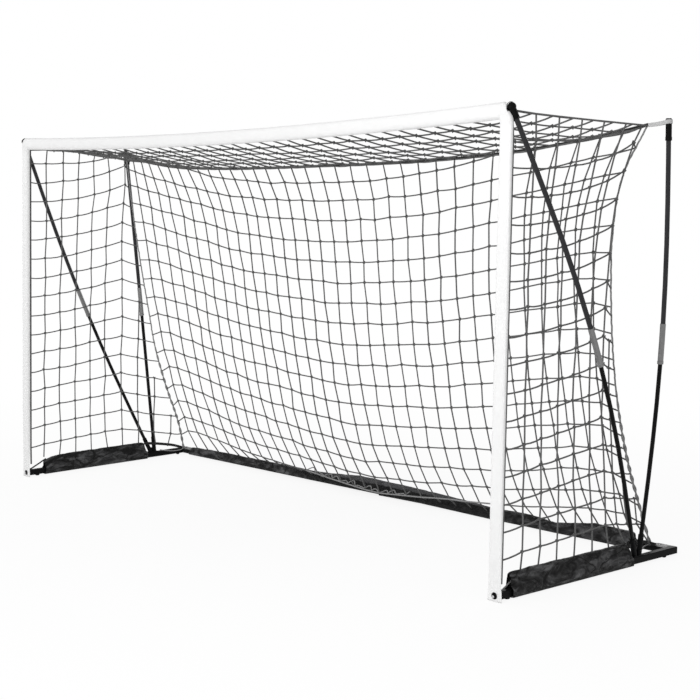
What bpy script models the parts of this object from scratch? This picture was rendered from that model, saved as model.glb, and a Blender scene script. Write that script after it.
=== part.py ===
# Portable football goal with a steel ground frame, bowed plug-in poles and a tied net.
#
# Metres, +Z up. X runs along the goal's width, the mouth faces -Y, and the origin is on the
# ground under the middle of the whole object. "Depth" is measured back from the front end of
# the side bars, and "side" is -1 for the left half and +1 for the right half. The tight net
# pulls the front ends of the side bars in, so the bars stand a little wider apart at the rear.

import math

import bmesh
import bpy
from mathutils import Vector

# Driving dimensions
OPENING_WIDTH = 3.67          # clear width between the uprights, a 12 ft goal
UPRIGHT_WIDTH = 0.062
POST_X = (OPENING_WIDTH + UPRIGHT_WIDTH) / 2
BASE_DEPTH = 1.216            # length of a side bar with its end plugs, about 4 ft
BAR_SPLAY = 0.030             # the bars stand this much wider apart per metre towards the rear
STUD_REACH = 0.0165           # how far the front studs stand out of the side bars
FRONT_Y = -(BASE_DEPTH - STUD_REACH) / 2   # world Y at depth 0, which centres the object
GAP = 0.0003                  # clearance between pieces that touch
FIT = 0.0004                  # radial clearance of plug-in joints
SIDES = {"left": -1, "right": 1}

# Ground frame
BAR = 0.032                   # square side bar
BAR_WALL = 0.0016
BAR_CORNER = 0.003
FOOT_HEIGHT = 0.008
BAR_BOTTOM = FOOT_HEIGHT + GAP
BAR_TOP = BAR_BOTTOM + BAR
BAR_AXIS_Z = BAR_BOTTOM + BAR / 2
PLUG_HEAD = 0.006
FRONT_FOOT_DEPTH = 0.070
REAR_FOOT_DEPTH = 1.135
REAR_BAR_DEPTH = 1.168
REAR_RADIUS = 0.015           # rear ground bar, 30 mm tube
REAR_WALL = 0.0016
SPIGOT_RADIUS = REAR_RADIUS - REAR_WALL - FIT
SPIGOT_WALL = 0.0013
SPIGOT_LENGTH = 0.070
REAR_BAR_END_X = 1.800        # where the outer sections meet the corner stubs
REAR_JOINT_X = 0.600          # where the middle section meets the outer ones
BUTTON_INSET = 0.035          # button's distance from the end of its outer tube
BUTTON_RADIUS = 0.003
BUTTON_TRAVEL = 0.0035        # enough to free the outer tube
BUTTON_SEAT = 0.0085          # height of the button's flange over the tube's axis
PLATE_THICKNESS = 0.004
PLATE_INNER_X = 1.806
STAKE_HOLE_RADIUS = 0.010
STAKE_HOLE_X = 1.832
STAKE_HOLE_DEPTH = REAR_BAR_DEPTH + 0.029

# Poles: start over the side bar (depth, z), end, and how far the middle is bowed out
DIAGONAL_START = (0.914, BAR_TOP + 0.004)
DIAGONAL_END = (1.887, 0.045, 1.999)
DIAGONAL_BOW = (0.093, 0.008)
REAR_POLE_START = (0.945, BAR_TOP + 0.004)
REAR_POLE_END = (2.056, 0.872, 1.975)
REAR_POLE_BOW = (0.029, 0.022)
LOWER_POLE_RADIUS = 0.010
UPPER_POLE_RADIUS = 0.011
POLE_WALL = 0.0018
POLE_SIDES = 10
FERRULE_LENGTH = 0.180
FERRULE_WALL = 0.0018
CAP_RADIUS = 0.0138
SOCKET_LENGTH = 0.094
SOCKET_WALL = 0.0028

# Crossbar
CROSSBAR_Z = 1.987            # centre of the crossbar at its ends
CROSSBAR_SAG = 0.037
CROSSBAR_DEPTH = 0.040        # the top of the goal leans back by this much
CROSSBAR_RADIUS = 0.0115
CROSSBAR_JOINT_X = 0.620
SLEEVE_HALF_HEIGHT = 0.032
SLEEVE_HALF_DEPTH = 0.021
SLEEVE_WALL = 0.002
SLEEVE_END_X = POST_X + 0.002
ELBOW_BALL_RADIUS = 0.0185
ELBOW_LEG_RADIUS = 0.0155
ELBOW_LEG = 0.047
ELBOW_ARM = 0.050

# Fabric uprights, their eyelets and studs
UPRIGHT_HALF_THICKNESS = 0.012
UPRIGHT_TOP = CROSSBAR_Z - 0.0395
TAB_DEPTH = -0.0040           # the tab hangs in front of the bar's plug
TAB_TOP = 0.060
TAB_HALF_THICKNESS = 0.0018
TAB_HALF_WIDTH = 0.038
EYELET_OUTER = 0.015
EYELET_BARREL = 0.0095
EYELET_BORE = 0.0066
STUD_SHANK = 0.004
STUD_HEAD = 0.006

# Ground sleeves
SKIRT_TOP = 0.110             # height of the sleeves round the side bars
REAR_SKIRT_TOP = 0.084
SKIRT_START, SKIRT_END = 0.112, 0.889
POLE_LEAN = 0.47              # how far the diagonal pole leans forward per metre of height
REAR_SKIRT_LEFT, REAR_SKIRT_RIGHT = -1.785, 1.715

# Net: strand size and number of meshes in each panel of this model
STRAND = 0.0028               # half the width and half the thickness of a strand
ROPE = 0.0040                 # the same for a panel's edge rope
HEAD_ROPE = 0.0055            # and for the rope along the top of the back
BACK_MESHES = (16, 8)
TOP_MESHES = (16, 3)
SIDE_MESHES = (5, 8)
EDGE_SHIFT = 0.0055           # keeps the edge ropes of two neighbouring panels apart
NET_X = POST_X - 0.013
# Curves down the net, from the top rope to the ground, as (x, depth, z): the seam where a side
# meets the back, the crease in front of it that hangs under the top corner, and the back's middle
NET_CORNER = [(1.983, 0.822, 1.955), (1.887, 0.782, 1.739), (1.838, 0.784, 1.492), (1.815, 0.811, 1.235),
              (1.801, 0.850, 0.980), (1.799, 0.897, 0.729), (1.797, 0.975, 0.477), (1.803, 1.070, 0.240),
              (1.826, 1.130, 0.052)]
NET_CREASE = [(1.965, 0.775, 1.947), (1.930, 0.782, 1.840), (1.889, 0.728, 1.619), (1.876, 0.711, 1.367),
              (1.869, 0.697, 1.118), (1.866, 0.691, 0.863), (1.875, 0.687, 0.606), (1.889, 0.691, 0.355),
              (1.894, 0.705, 0.118)]
NET_MIDDLE = [(0.0, 0.665, 1.822), (0.0, 0.734, 1.634), (0.0, 0.769, 1.405), (0.0, 0.795, 1.178),
              (0.0, 0.823, 0.949), (0.0, 0.863, 0.716), (0.0, 0.911, 0.486), (0.0, 0.985, 0.259),
              (0.0, 1.110, 0.058)]
CREASE_SHARE = 0.6            # the crease's place between the side's front edge and the seam
BLEND_POWER = 3.2             # how fast the middle profile turns into the corner profile

MATERIALS = {
    "black_steel": ((0.012, 0.012, 0.013), 0.42, 0.0),
    "pole_black": ((0.020, 0.020, 0.021), 0.35, 0.0),
    "ferrule_steel": ((0.38, 0.38, 0.38), 0.38, 1.0),
    "zinc_steel": ((0.55, 0.55, 0.56), 0.30, 1.0),
    "black_plastic": ((0.010, 0.010, 0.010), 0.50, 0.0),
    "black_rubber": ((0.015, 0.015, 0.015), 0.80, 0.0),
    "white_nylon": ((0.86, 0.86, 0.86), 0.75, 0.0),
    "black_nylon": ((0.020, 0.020, 0.022), 0.60, 0.0),
    "white_twine": ((0.80, 0.80, 0.80), 0.85, 0.0),
    "grey_webbing": ((0.62, 0.62, 0.62), 0.80, 0.0),
}


# Scene and materials
def clear_scene():
    for item in list(bpy.data.objects):
        bpy.data.objects.remove(item, do_unlink=True)


def material(name):
    found = bpy.data.materials.get(name)
    if found:
        return found
    color, roughness, metallic = MATERIALS[name]
    made = bpy.data.materials.new(name)
    made.use_nodes = True
    shader = made.node_tree.nodes["Principled BSDF"]
    shader.inputs["Base Color"].default_value = (*color, 1.0)
    shader.inputs["Roughness"].default_value = roughness
    shader.inputs["Metallic"].default_value = metallic
    made.diffuse_color = (*color, 1.0)
    return made


# Placing
def at(x, depth, z):
    return Vector((x, depth + FRONT_Y, z))


def mirrored(point, side):
    return at(side * point[0], point[1], point[2])


def bar_x(depth):
    """Centre line of a side bar: it starts at the upright and spreads to the rear."""
    return POST_X + BAR_SPLAY * depth


def add_object(name, bm, material_name, origin=None, smooth_angle=40):
    origin = origin or Vector((0.0, 0.0, 0.0))
    bmesh.ops.recalc_face_normals(bm, faces=bm.faces)
    bmesh.ops.translate(bm, vec=-origin, verts=bm.verts)
    mesh = bpy.data.meshes.new(name)
    bm.to_mesh(mesh)
    bm.free()
    if smooth_angle:
        mesh.shade_smooth()
        mesh.set_sharp_from_angle(angle=math.radians(smooth_angle))
    mesh.materials.append(material(material_name))
    made = bpy.data.objects.new(name, mesh)
    made.location = origin
    bpy.context.collection.objects.link(made)
    return made


def boolean(target, tool, operation):
    tool.hide_render = True
    tool.display_type = "WIRE"
    step = target.modifiers.new(operation.lower(), "BOOLEAN")
    step.operation = operation
    step.solver = "EXACT"
    step.object = tool


# Lofting
def loft(bm, loops, closed):
    """Skin equal loops of points: end caps, or a closed chain when the body has a bore."""
    rings = [[bm.verts.new(point) for point in loop] for loop in loops]
    count = len(rings[0])
    pairs = list(zip(rings, rings[1:]))
    if closed:
        pairs.append((rings[-1], rings[0]))
    for first, second in pairs:
        for i in range(count):
            j = (i + 1) % count
            bm.faces.new((first[i], first[j], second[j], second[i]))
    if not closed:
        bm.faces.new(list(reversed(rings[0])))
        bm.faces.new(rings[-1])
    return rings


def frame_at(path, s):
    step = 1e-4
    tangent = (path(s + step) - path(s - step)).normalized()
    across = tangent.cross(Vector((0.0, 1.0, 0.0))).normalized()
    return path(s), tangent, across, tangent.cross(across)


def circle_on(path, s, radius, sides):
    centre, _, across, over = frame_at(path, s)
    turns = [2 * math.pi * (i + 0.5) / sides for i in range(sides)]
    return [centre + radius * (math.cos(a) * across + math.sin(a) * over) for a in turns]


def swept(path, outer, inner=None, sides=POLE_SIDES):
    """A round body along a path. outer and inner list (station, radius) from start to end."""
    bm = bmesh.new()
    stations = list(outer) + list(reversed(inner or []))
    loft(bm, [circle_on(path, s, radius, sides) for s, radius in stations], closed=bool(inner))
    return bm


def straight(start, end):
    return lambda s: start + (end - start).normalized() * s


def turned(centre, axis, profile, sides, bored=False):
    """A turned body: profile lists (distance along the axis, radius)."""
    path = straight(centre, centre + axis)
    if abs(axis.normalized().y) > 0.9:
        loops = []
        for s, radius in profile:
            turns = [2 * math.pi * (i + 0.5) / sides for i in range(sides)]
            loops.append([path(s) + radius * Vector((math.cos(a), 0.0, math.sin(a))) for a in turns])
    else:
        loops = [circle_on(path, s, radius, sides) for s, radius in profile]
    bm = bmesh.new()
    loft(bm, loops, closed=bored)
    return bm


def rounded_square(half, corner, steps=2):
    """Outline of a square with round corners, as (u, v) points."""
    points = []
    for quarter in range(4):
        turn = math.pi / 2 * quarter
        cx, cy = half - corner, half - corner
        for i in range(steps + 1):
            a = math.pi / 2 * i / steps
            u, v = cx + corner * math.cos(a), cy + corner * math.sin(a)
            points.append((u * math.cos(turn) - v * math.sin(turn), u * math.sin(turn) + v * math.cos(turn)))
    return points


def spread(start, end, count):
    return [start + (end - start) * i / count for i in range(count + 1)]


# Ground frame
def side_bar(name, side):
    outline = rounded_square(BAR / 2, BAR_CORNER)
    bore = rounded_square(BAR / 2 - BAR_WALL, BAR_CORNER - BAR_WALL)
    ends = (PLUG_HEAD + GAP, BASE_DEPTH - PLUG_HEAD - GAP)
    chain = [(ends[0], outline), (ends[1], outline), (ends[1], bore), (ends[0], bore)]
    bm = bmesh.new()
    loops = [[at(side * bar_x(depth) + u, depth, BAR_AXIS_Z + v) for u, v in shape] for depth, shape in chain]
    loft(bm, loops, closed=True)
    add_object(f"side_bar_{name}", bm, "black_steel")


def bar_plug(name, side, front):
    """End plug of a side bar: a head the size of the bar and a hollow shank inside it."""
    direction = 1 if front else -1
    face = 0.0 if front else BASE_DEPTH
    head = rounded_square(BAR / 2, BAR_CORNER)
    rim = rounded_square(BAR / 2 - 0.0012, BAR_CORNER)
    shank_half = BAR / 2 - BAR_WALL - GAP
    shank = rounded_square(shank_half, BAR_CORNER - BAR_WALL)
    hollow = rounded_square(shank_half - 0.002, BAR_CORNER - BAR_WALL)
    chain = [(0.0, rim), (0.0012, head), (PLUG_HEAD, head), (PLUG_HEAD, shank), (0.022, shank)]
    if not front:
        chain += [(0.022, hollow), (PLUG_HEAD, hollow)]
    bm = bmesh.new()
    loops = []
    for inward, shape in chain:
        depth = face + direction * inward
        loops.append([at(side * bar_x(depth) + u, depth, BAR_AXIS_Z + v) for u, v in shape])
    loft(bm, loops, closed=False)
    kind = "front" if front else "rear"
    plug = add_object(f"side_bar_{kind}_plug_{name}", bm, "black_plastic")
    if front:
        hole = turned(at(side * POST_X, -0.01, BAR_AXIS_Z), Vector((0, 1, 0)),
                      [(0.0, STUD_SHANK + GAP), (0.05, STUD_SHANK + GAP)], 12)
        boolean(plug, add_object(f"stud_hole_{name}", hole, "black_plastic"), "DIFFERENCE")


def front_stud(name, side):
    """Peg with a round head that holds the upright's eyelet to the front of the bar."""
    profile = [(-STUD_REACH, 0.0040), (-0.0152, STUD_HEAD), (-0.0100, STUD_HEAD), (-0.0090, STUD_SHANK),
               (0.0250, STUD_SHANK), (0.0258, 0.0030)]
    body = turned(at(side * POST_X, 0.0, BAR_AXIS_Z), Vector((0, 1, 0)), profile, 12)
    add_object(f"front_stud_{name}", body, "zinc_steel")


def rubber_foot(place, name, side):
    """Round foot under a side bar, fatter at the front than at the rear."""
    depth, fat = (FRONT_FOOT_DEPTH, 0.013) if place == "front" else (REAR_FOOT_DEPTH, 0.011)
    top = at(side * bar_x(depth), depth, FOOT_HEIGHT)
    profile = [(0.0, fat - 0.002), (0.002, fat), (0.005, fat), (0.0072, fat - 0.003), (FOOT_HEIGHT, fat - 0.005)]
    path = straight(top, top - Vector((0, 0, 1)))
    bm = bmesh.new()
    loft(bm, [circle_on(path, s, radius, 12) for s, radius in profile], closed=False)
    add_object(f"foot_{place}_{name}", bm, "black_rubber")


def cylinder_between(name, start, end, radius, material_name, sides=12):
    length = (end - start).length
    return add_object(name, swept(straight(start, end), [(0.0, radius), (length, radius)], sides=sides), material_name)


def box(name, low, high, material_name):
    bm = bmesh.new()
    loops = []
    for z in (low.z, high.z):
        loops.append([Vector((low.x, low.y, z)), Vector((high.x, low.y, z)),
                      Vector((high.x, high.y, z)), Vector((low.x, high.y, z))])
    loft(bm, loops, closed=False)
    return add_object(name, bm, material_name, smooth_angle=0)


def pole_socket(name, side):
    """Welded pair of tube stubs that spread like a V, with a web between them."""
    seat = BAR_TOP + GAP
    front, rear = DIAGONAL_START[0] - 0.020, REAR_POLE_START[0] + 0.022
    x = side * bar_x((front + rear) / 2)
    socket = box(f"pole_socket_{name}", at(x - 0.0145, front, seat), at(x + 0.0145, rear, seat + 0.0035), "black_steel")
    tools = []
    for kind, path in (("diagonal", diagonal_path(side)), ("rear", rear_pole_path(side))):
        start, tangent, _, _ = frame_at(path, 0.0)
        radius = LOWER_POLE_RADIUS + FIT
        tools.append((cylinder_between(f"{kind}_stub_{name}", start - tangent * 0.012, start + tangent * SOCKET_LENGTH,
                                       radius + SOCKET_WALL, "black_steel"), "UNION"))
        tools.append((cylinder_between(f"{kind}_bore_{name}", start + tangent * 0.0005,
                                       start + tangent * (SOCKET_LENGTH + 0.02), radius, "black_steel",
                                       sides=POLE_SIDES), "DIFFERENCE"))
    web = box(f"web_{name}", at(x - 0.002, front + 0.010, seat), at(x + 0.002, rear - 0.022, seat + 0.030),
              "black_steel")
    below = box(f"below_{name}", at(x - 0.05, front - 0.08, seat - 0.05), at(x + 0.05, rear + 0.08, seat), "black_steel")
    order = [tools[0], tools[2], (web, "UNION"), tools[1], tools[3], (below, "DIFFERENCE")]
    for tool, operation in order:
        boolean(socket, tool, operation)


def anchor_plate(name, side):
    """Flat plate behind the rear bar that follows the side bar's splay."""
    front, rear = REAR_BAR_DEPTH + 0.006, BASE_DEPTH - 0.002
    bm = bmesh.new()
    loops = []
    for z in (BAR_TOP - PLATE_THICKNESS, BAR_TOP):
        corners = [(PLATE_INNER_X, front)]
        corners += [(bar_x(depth) - BAR / 2 - GAP, depth) for depth in (front, rear)]
        corners += [(PLATE_INNER_X + 0.010, rear), (PLATE_INNER_X, rear - 0.010)]
        loops.append([at(side * x, depth, z) for x, depth in corners])
    loft(bm, loops, closed=False)
    return add_object(f"anchor_plate_{name}", bm, "black_steel", smooth_angle=0)


def rear_corner(name, side):
    """Stub that takes the rear bar, welded to the side bar with a plate that has a stake hole."""
    weld_x = bar_x(REAR_BAR_DEPTH - REAR_RADIUS) - BAR / 2 - GAP
    x_end = REAR_BAR_END_X - SPIGOT_LENGTH
    path = straight(at(side * weld_x, REAR_BAR_DEPTH, BAR_AXIS_Z), at(0.0, REAR_BAR_DEPTH, BAR_AXIS_Z))
    shoulder = weld_x - REAR_BAR_END_X
    bore = SPIGOT_RADIUS - SPIGOT_WALL
    outer = [(0.0, REAR_RADIUS), (shoulder, REAR_RADIUS), (shoulder, SPIGOT_RADIUS), (weld_x - x_end, SPIGOT_RADIUS)]
    inner = [(0.0, bore), (weld_x - x_end, bore)]
    corner = add_object(f"rear_corner_{name}", swept(path, outer, inner, sides=16), "black_steel")
    plate = anchor_plate(name, side)
    core = cylinder_between(f"corner_core_{name}", at(side * (weld_x + 0.01), REAR_BAR_DEPTH, BAR_AXIS_Z),
                            at(side * (x_end - 0.01), REAR_BAR_DEPTH, BAR_AXIS_Z), bore, "black_steel", sides=16)
    hole = cylinder_between(f"stake_hole_{name}", at(side * STAKE_HOLE_X, STAKE_HOLE_DEPTH, 0.0),
                            at(side * STAKE_HOLE_X, STAKE_HOLE_DEPTH, 0.1), STAKE_HOLE_RADIUS, "black_steel", sides=16)
    for tool, operation in ((plate, "UNION"), (core, "DIFFERENCE"), (hole, "DIFFERENCE")):
        boolean(corner, tool, operation)
    button_hole(corner, f"corner_{name}", side * button_x("corner"))


def button_x(place):
    if place == "corner":
        return REAR_BAR_END_X - BUTTON_INSET
    return REAR_JOINT_X - BUTTON_INSET


def button_hole(tube, label, x):
    start = at(x, REAR_BAR_DEPTH, BAR_AXIS_Z)
    hole = cylinder_between(f"button_hole_{label}", start, start + Vector((0, 0, 0.03)), BUTTON_RADIUS + FIT,
                            "black_steel", sides=12)
    boolean(tube, hole, "DIFFERENCE")


def rear_bar_outer(name, side):
    """Outer section: bored for the corner stub, with a spigot for the middle section."""
    path = straight(at(side * (REAR_BAR_END_X - GAP), REAR_BAR_DEPTH, BAR_AXIS_Z), at(0.0, REAR_BAR_DEPTH, BAR_AXIS_Z))
    shoulder = REAR_BAR_END_X - GAP - REAR_JOINT_X
    tip = shoulder + SPIGOT_LENGTH
    wide = REAR_RADIUS - REAR_WALL
    narrow = SPIGOT_RADIUS - SPIGOT_WALL
    outer = [(0.0, REAR_RADIUS), (shoulder, REAR_RADIUS), (shoulder, SPIGOT_RADIUS), (tip, SPIGOT_RADIUS)]
    inner = [(0.0, wide), (shoulder - 0.01, wide), (shoulder - 0.004, narrow), (tip, narrow)]
    bar = add_object(f"rear_bar_{name}", swept(path, outer, inner, sides=16), "black_steel")
    button_hole(bar, f"{name}_outer", side * button_x("corner"))
    button_hole(bar, f"{name}_inner", side * button_x("middle"))


def rear_bar_middle():
    end = REAR_JOINT_X - GAP
    path = straight(at(-end, REAR_BAR_DEPTH, BAR_AXIS_Z), at(0.0, REAR_BAR_DEPTH, BAR_AXIS_Z))
    wide = REAR_RADIUS - REAR_WALL
    bm = swept(path, [(0.0, REAR_RADIUS), (2 * end, REAR_RADIUS)], [(0.0, wide), (2 * end, wide)], sides=16)
    bar = add_object("rear_bar_middle", bm, "black_steel")
    for name, side in SIDES.items():
        button_hole(bar, f"middle_{name}", side * button_x("middle"))


def snap_button(place, name, side):
    """Button that locks a plug-in joint, and the bent leaf spring under it."""
    x = side * button_x(place)
    centre = at(x, REAR_BAR_DEPTH, BAR_AXIS_Z)
    seat = BUTTON_SEAT
    top = REAR_RADIUS + BUTTON_TRAVEL - REAR_WALL
    profile = [(seat, 0.0042), (seat + 0.0012, 0.0042), (seat + 0.0012, BUTTON_RADIUS), (top - 0.0012, BUTTON_RADIUS),
               (top - 0.0003, 0.0022), (top, 0.0010)]
    button = turned(centre, Vector((0, 0, 1)), profile, 10)
    add_object(f"snap_button_{place}_{name}", button, "zinc_steel", origin=centre)
    # The strip is a V on its side, drawn in the X-Z plane and narrower than the bore
    reach, thick, half_width = 0.024, 0.0007, 0.003
    floor = GAP - (SPIGOT_RADIUS - SPIGOT_WALL) * 0.93
    outline = [(-reach, floor), (0.006, floor), (0.006, floor + thick), (thick * 3 - reach, floor + thick),
               (0.003, seat - GAP - thick), (0.006, seat - GAP - thick), (0.006, seat - GAP), (0.002, seat - GAP)]
    bm = bmesh.new()
    loops = [[centre + Vector((side * u, y, v)) for u, v in outline] for y in (-half_width, half_width)]
    loft(bm, loops, closed=False)
    add_object(f"button_spring_{place}_{name}", bm, "zinc_steel", smooth_angle=0)


# Poles
def bowed_path(start, end, bow, side):
    first, last = mirrored(start, side), mirrored(end, side)
    push = Vector((side * bow[0], bow[1], 0.0))
    length = (last - first).length
    return lambda s: first + (last - first) * (s / length) + push * math.sin(math.pi * s / length)


def foot_of(start):
    return (bar_x(start[0]), *start)


def chord(start, end):
    return (mirrored(end, 1) - mirrored(foot_of(start), 1)).length


def diagonal_path(side):
    return bowed_path(foot_of(DIAGONAL_START), DIAGONAL_END, DIAGONAL_BOW, side)


def rear_pole_path(side):
    return bowed_path(foot_of(REAR_POLE_START), REAR_POLE_END, REAR_POLE_BOW, side)


def pole(kind, name, path, length):
    """Lower half, upper half and the steel ferrule that joins them in the middle."""
    middle = length / 2
    half = FERRULE_LENGTH / 2
    step = GAP / 2
    low_stations = spread(GAP + 0.0007, middle - half, 5) + [middle - step]
    top_stations = [middle + step] + spread(middle + half, length, 5)
    for part, stations, radius in (("lower", low_stations, LOWER_POLE_RADIUS), ("upper", top_stations, UPPER_POLE_RADIUS)):
        outer = [(s, radius) for s in stations]
        inner = [(s, radius - POLE_WALL) for s in stations]
        add_object(f"{kind}_pole_{part}_{name}", swept(path, outer, inner), "pole_black")
    shell = UPPER_POLE_RADIUS + GAP + FERRULE_WALL
    ends = (middle - half, middle + half)
    outer = [(ends[0], shell + 0.0012), (ends[0] + 0.012, shell + 0.0012), (ends[0] + 0.013, shell), (middle, shell),
             (ends[1], shell)]
    inner = [(ends[0], LOWER_POLE_RADIUS + GAP), (middle - step, LOWER_POLE_RADIUS + GAP),
             (middle - step, UPPER_POLE_RADIUS + GAP), (ends[1], UPPER_POLE_RADIUS + GAP)]
    add_object(f"{kind}_ferrule_{name}", swept(path, outer, inner), "ferrule_steel")


def rear_pole_cap(name, side):
    """Moulded cap that covers the last 85 mm of the rear pole, with a thicker collar below."""
    length = chord(REAR_POLE_START, REAR_POLE_END)
    path = rear_pole_path(side)
    bore = UPPER_POLE_RADIUS + GAP
    collar = CAP_RADIUS + 0.0012
    outer = [(length - 0.085, collar), (length - 0.070, collar), (length - 0.069, CAP_RADIUS),
             (length - 0.020, CAP_RADIUS), (length + 0.006, CAP_RADIUS), (length + 0.010, CAP_RADIUS - 0.003)]
    bm = bmesh.new()
    rings = [circle_on(path, s, radius, POLE_SIDES) for s, radius in outer]
    pocket = [circle_on(path, s, bore, POLE_SIDES) for s in (length + GAP, length - 0.020, length - 0.085)]
    loops = [pocket[0], pocket[1], pocket[2]] + rings
    loft(bm, loops, closed=False)
    add_object(f"rear_pole_cap_{name}", bm, "black_plastic")


def corner_strap(name, side):
    """Webbing loop from the rear pole's cap to the net's top corner."""
    length = chord(REAR_POLE_START, REAR_POLE_END)
    top = rear_pole_path(side)(length - 0.004)
    corner = mirrored(NET_CORNER[0], side)
    toward = Vector((corner.x - top.x, corner.y - top.y, 0.0))
    reach = toward.length - 0.010
    toward.normalize()
    across = Vector((-toward.y, toward.x, 0.0))
    drop = (corner.z - top.z) / reach
    inner_radius, thick, half_height = CAP_RADIUS + 0.0018, 0.0016, 0.009

    def outline(radius, tip):
        points = []
        for i in range(10):
            a = math.radians(80 + 200 * i / 9)
            points.append((radius * math.cos(a), radius * math.sin(a)))
        points += [(tip - 0.008, -radius * 0.22), (tip, -radius * 0.12), (tip, radius * 0.12),
                   (tip - 0.008, radius * 0.22)]
        return points

    def ring(radius, tip, z):
        points = []
        for u, v in outline(radius, tip):
            point = top + toward * u + across * v
            point.z = top.z + z + drop * max(u, 0.0)
            points.append(point)
        return points

    wide = (inner_radius + thick, reach)
    narrow = (inner_radius, reach - 0.004)
    loops = [ring(*wide, -half_height), ring(*wide, half_height), ring(*narrow, half_height), ring(*narrow, -half_height)]
    bm = bmesh.new()
    loft(bm, loops, closed=True)
    add_object(f"corner_strap_{name}", bm, "grey_webbing")


# Crossbar and its corners
def crossbar_path(side=1):
    def path(s):
        bend = 1.0 - (s / POST_X) ** 2
        return at(side * s, CROSSBAR_DEPTH, CROSSBAR_Z - CROSSBAR_SAG * bend)
    return path


def top_elbow(name, side):
    """Moulded corner: a ball with one leg down the diagonal pole and one arm into the crossbar."""
    length = chord(DIAGONAL_START, DIAGONAL_END)
    end, tangent, _, _ = frame_at(diagonal_path(side), length)
    centre = mirrored((DIAGONAL_END[0], DIAGONAL_END[1], DIAGONAL_END[2] + 0.002), side)
    ball = [(-math.cos(a) * ELBOW_BALL_RADIUS, math.sin(a) * ELBOW_BALL_RADIUS)
            for a in [math.radians(15 + 150 * i / 7) for i in range(8)]]
    elbow = add_object(f"top_elbow_{name}", turned(centre, Vector((0, 0, 1)), ball, 16), "black_plastic")
    leg = cylinder_between(f"elbow_leg_{name}", end + tangent * 0.002, end - tangent * ELBOW_LEG, ELBOW_LEG_RADIUS,
                           "black_plastic", sides=16)
    arm_end = POST_X - ELBOW_ARM
    arm_start = crossbar_path(side)(POST_X + 0.016)
    arm = cylinder_between(f"elbow_arm_{name}", arm_start, crossbar_path(side)(arm_end), CROSSBAR_RADIUS + 0.0032,
                           "black_plastic", sides=16)
    leg_bore = cylinder_between(f"leg_bore_{name}", end + tangent * GAP, end - tangent * (ELBOW_LEG + 0.02),
                                UPPER_POLE_RADIUS + GAP, "black_plastic", sides=POLE_SIDES)
    arm_bore = cylinder_between(f"arm_bore_{name}", crossbar_path(side)(POST_X - 0.004),
                                crossbar_path(side)(arm_end - 0.02), CROSSBAR_RADIUS + 0.0008, "black_plastic",
                                sides=POLE_SIDES)
    for tool, operation in ((leg, "UNION"), (arm, "UNION"), (leg_bore, "DIFFERENCE"), (arm_bore, "DIFFERENCE")):
        boolean(elbow, tool, operation)


def crossbar_pole_outer(name, side):
    path = crossbar_path(side)
    bore = CROSSBAR_RADIUS - POLE_WALL
    spigot = bore - FIT
    tip = CROSSBAR_JOINT_X - 0.060
    end = POST_X - 0.006
    outer = [(s, CROSSBAR_RADIUS) for s in spread(end, CROSSBAR_JOINT_X + GAP, 5)]
    outer += [(CROSSBAR_JOINT_X + GAP, spigot), (tip, spigot)]
    inner = [(s, bore - 0.002) for s in spread(end, CROSSBAR_JOINT_X + GAP, 5)] + [(tip, bore - 0.002)]
    add_object(f"crossbar_pole_{name}", swept(path, outer, inner), "pole_black")


def crossbar_pole_middle():
    bore = CROSSBAR_RADIUS - POLE_WALL
    tip = CROSSBAR_JOINT_X - 0.060
    stations = [-CROSSBAR_JOINT_X, -tip, -tip / 2, 0.0, tip / 2, tip, CROSSBAR_JOINT_X]
    outer = [(s, CROSSBAR_RADIUS) for s in stations]
    inner = [(s, bore) for s in stations]
    add_object("crossbar_pole_middle", swept(crossbar_path(), outer, inner), "pole_black")


def oval(path, s, half_height, half_depth, sides=12):
    """Cross-section of the crossbar's sleeve, a little fuller below its middle."""
    centre = path(s)
    points = []
    for i in range(sides):
        a = 2 * math.pi * (i + 0.5) / sides
        points.append(centre + Vector((0.0, half_depth * math.cos(a), half_height * math.sin(a))))
    return points


def crossbar_sleeve():
    """White fabric tube round the crossbar poles, drawn in at both ends."""
    path = crossbar_path()
    inner_end = SLEEVE_END_X
    stations = [-inner_end, -inner_end + 0.025, -inner_end + 0.07] + spread(-1.6, 1.6, 8)
    stations += [inner_end - 0.07, inner_end - 0.025, inner_end]
    pinch = {0: 0.86, 1: 0.93, len(stations) - 1: 0.86, len(stations) - 2: 0.93}
    outer = [oval(path, s, SLEEVE_HALF_HEIGHT * pinch.get(i, 1.0), SLEEVE_HALF_DEPTH) for i, s in enumerate(stations)]
    inner = [oval(path, s, SLEEVE_HALF_HEIGHT * pinch.get(i, 1.0) - SLEEVE_WALL, SLEEVE_HALF_DEPTH - SLEEVE_WALL)
             for i, s in enumerate(stations)]
    bm = bmesh.new()
    loft(bm, outer + list(reversed(inner)), closed=True)
    add_object("crossbar_sleeve", bm, "white_nylon")


# Fabric uprights
def upright_depth(z):
    """The band stands in front of the side bar and leans back to the crossbar."""
    lean = max(0.0, (z - TAB_TOP) / (UPRIGHT_TOP - TAB_TOP))
    return TAB_DEPTH + (CROSSBAR_DEPTH - TAB_DEPTH) * lean


def upright_section(side, z, half_width, half_thickness):
    """Flattened tube section of the band."""
    depth = upright_depth(z)
    points = []
    for i in range(12):
        a = 2 * math.pi * (i + 0.5) / 12
        u = math.copysign(abs(math.cos(a)) ** 0.7, math.cos(a))
        v = math.copysign(abs(math.sin(a)) ** 0.7, math.sin(a))
        points.append(at(side * POST_X + half_width * u, depth + half_thickness * v, z))
    return points


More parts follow.
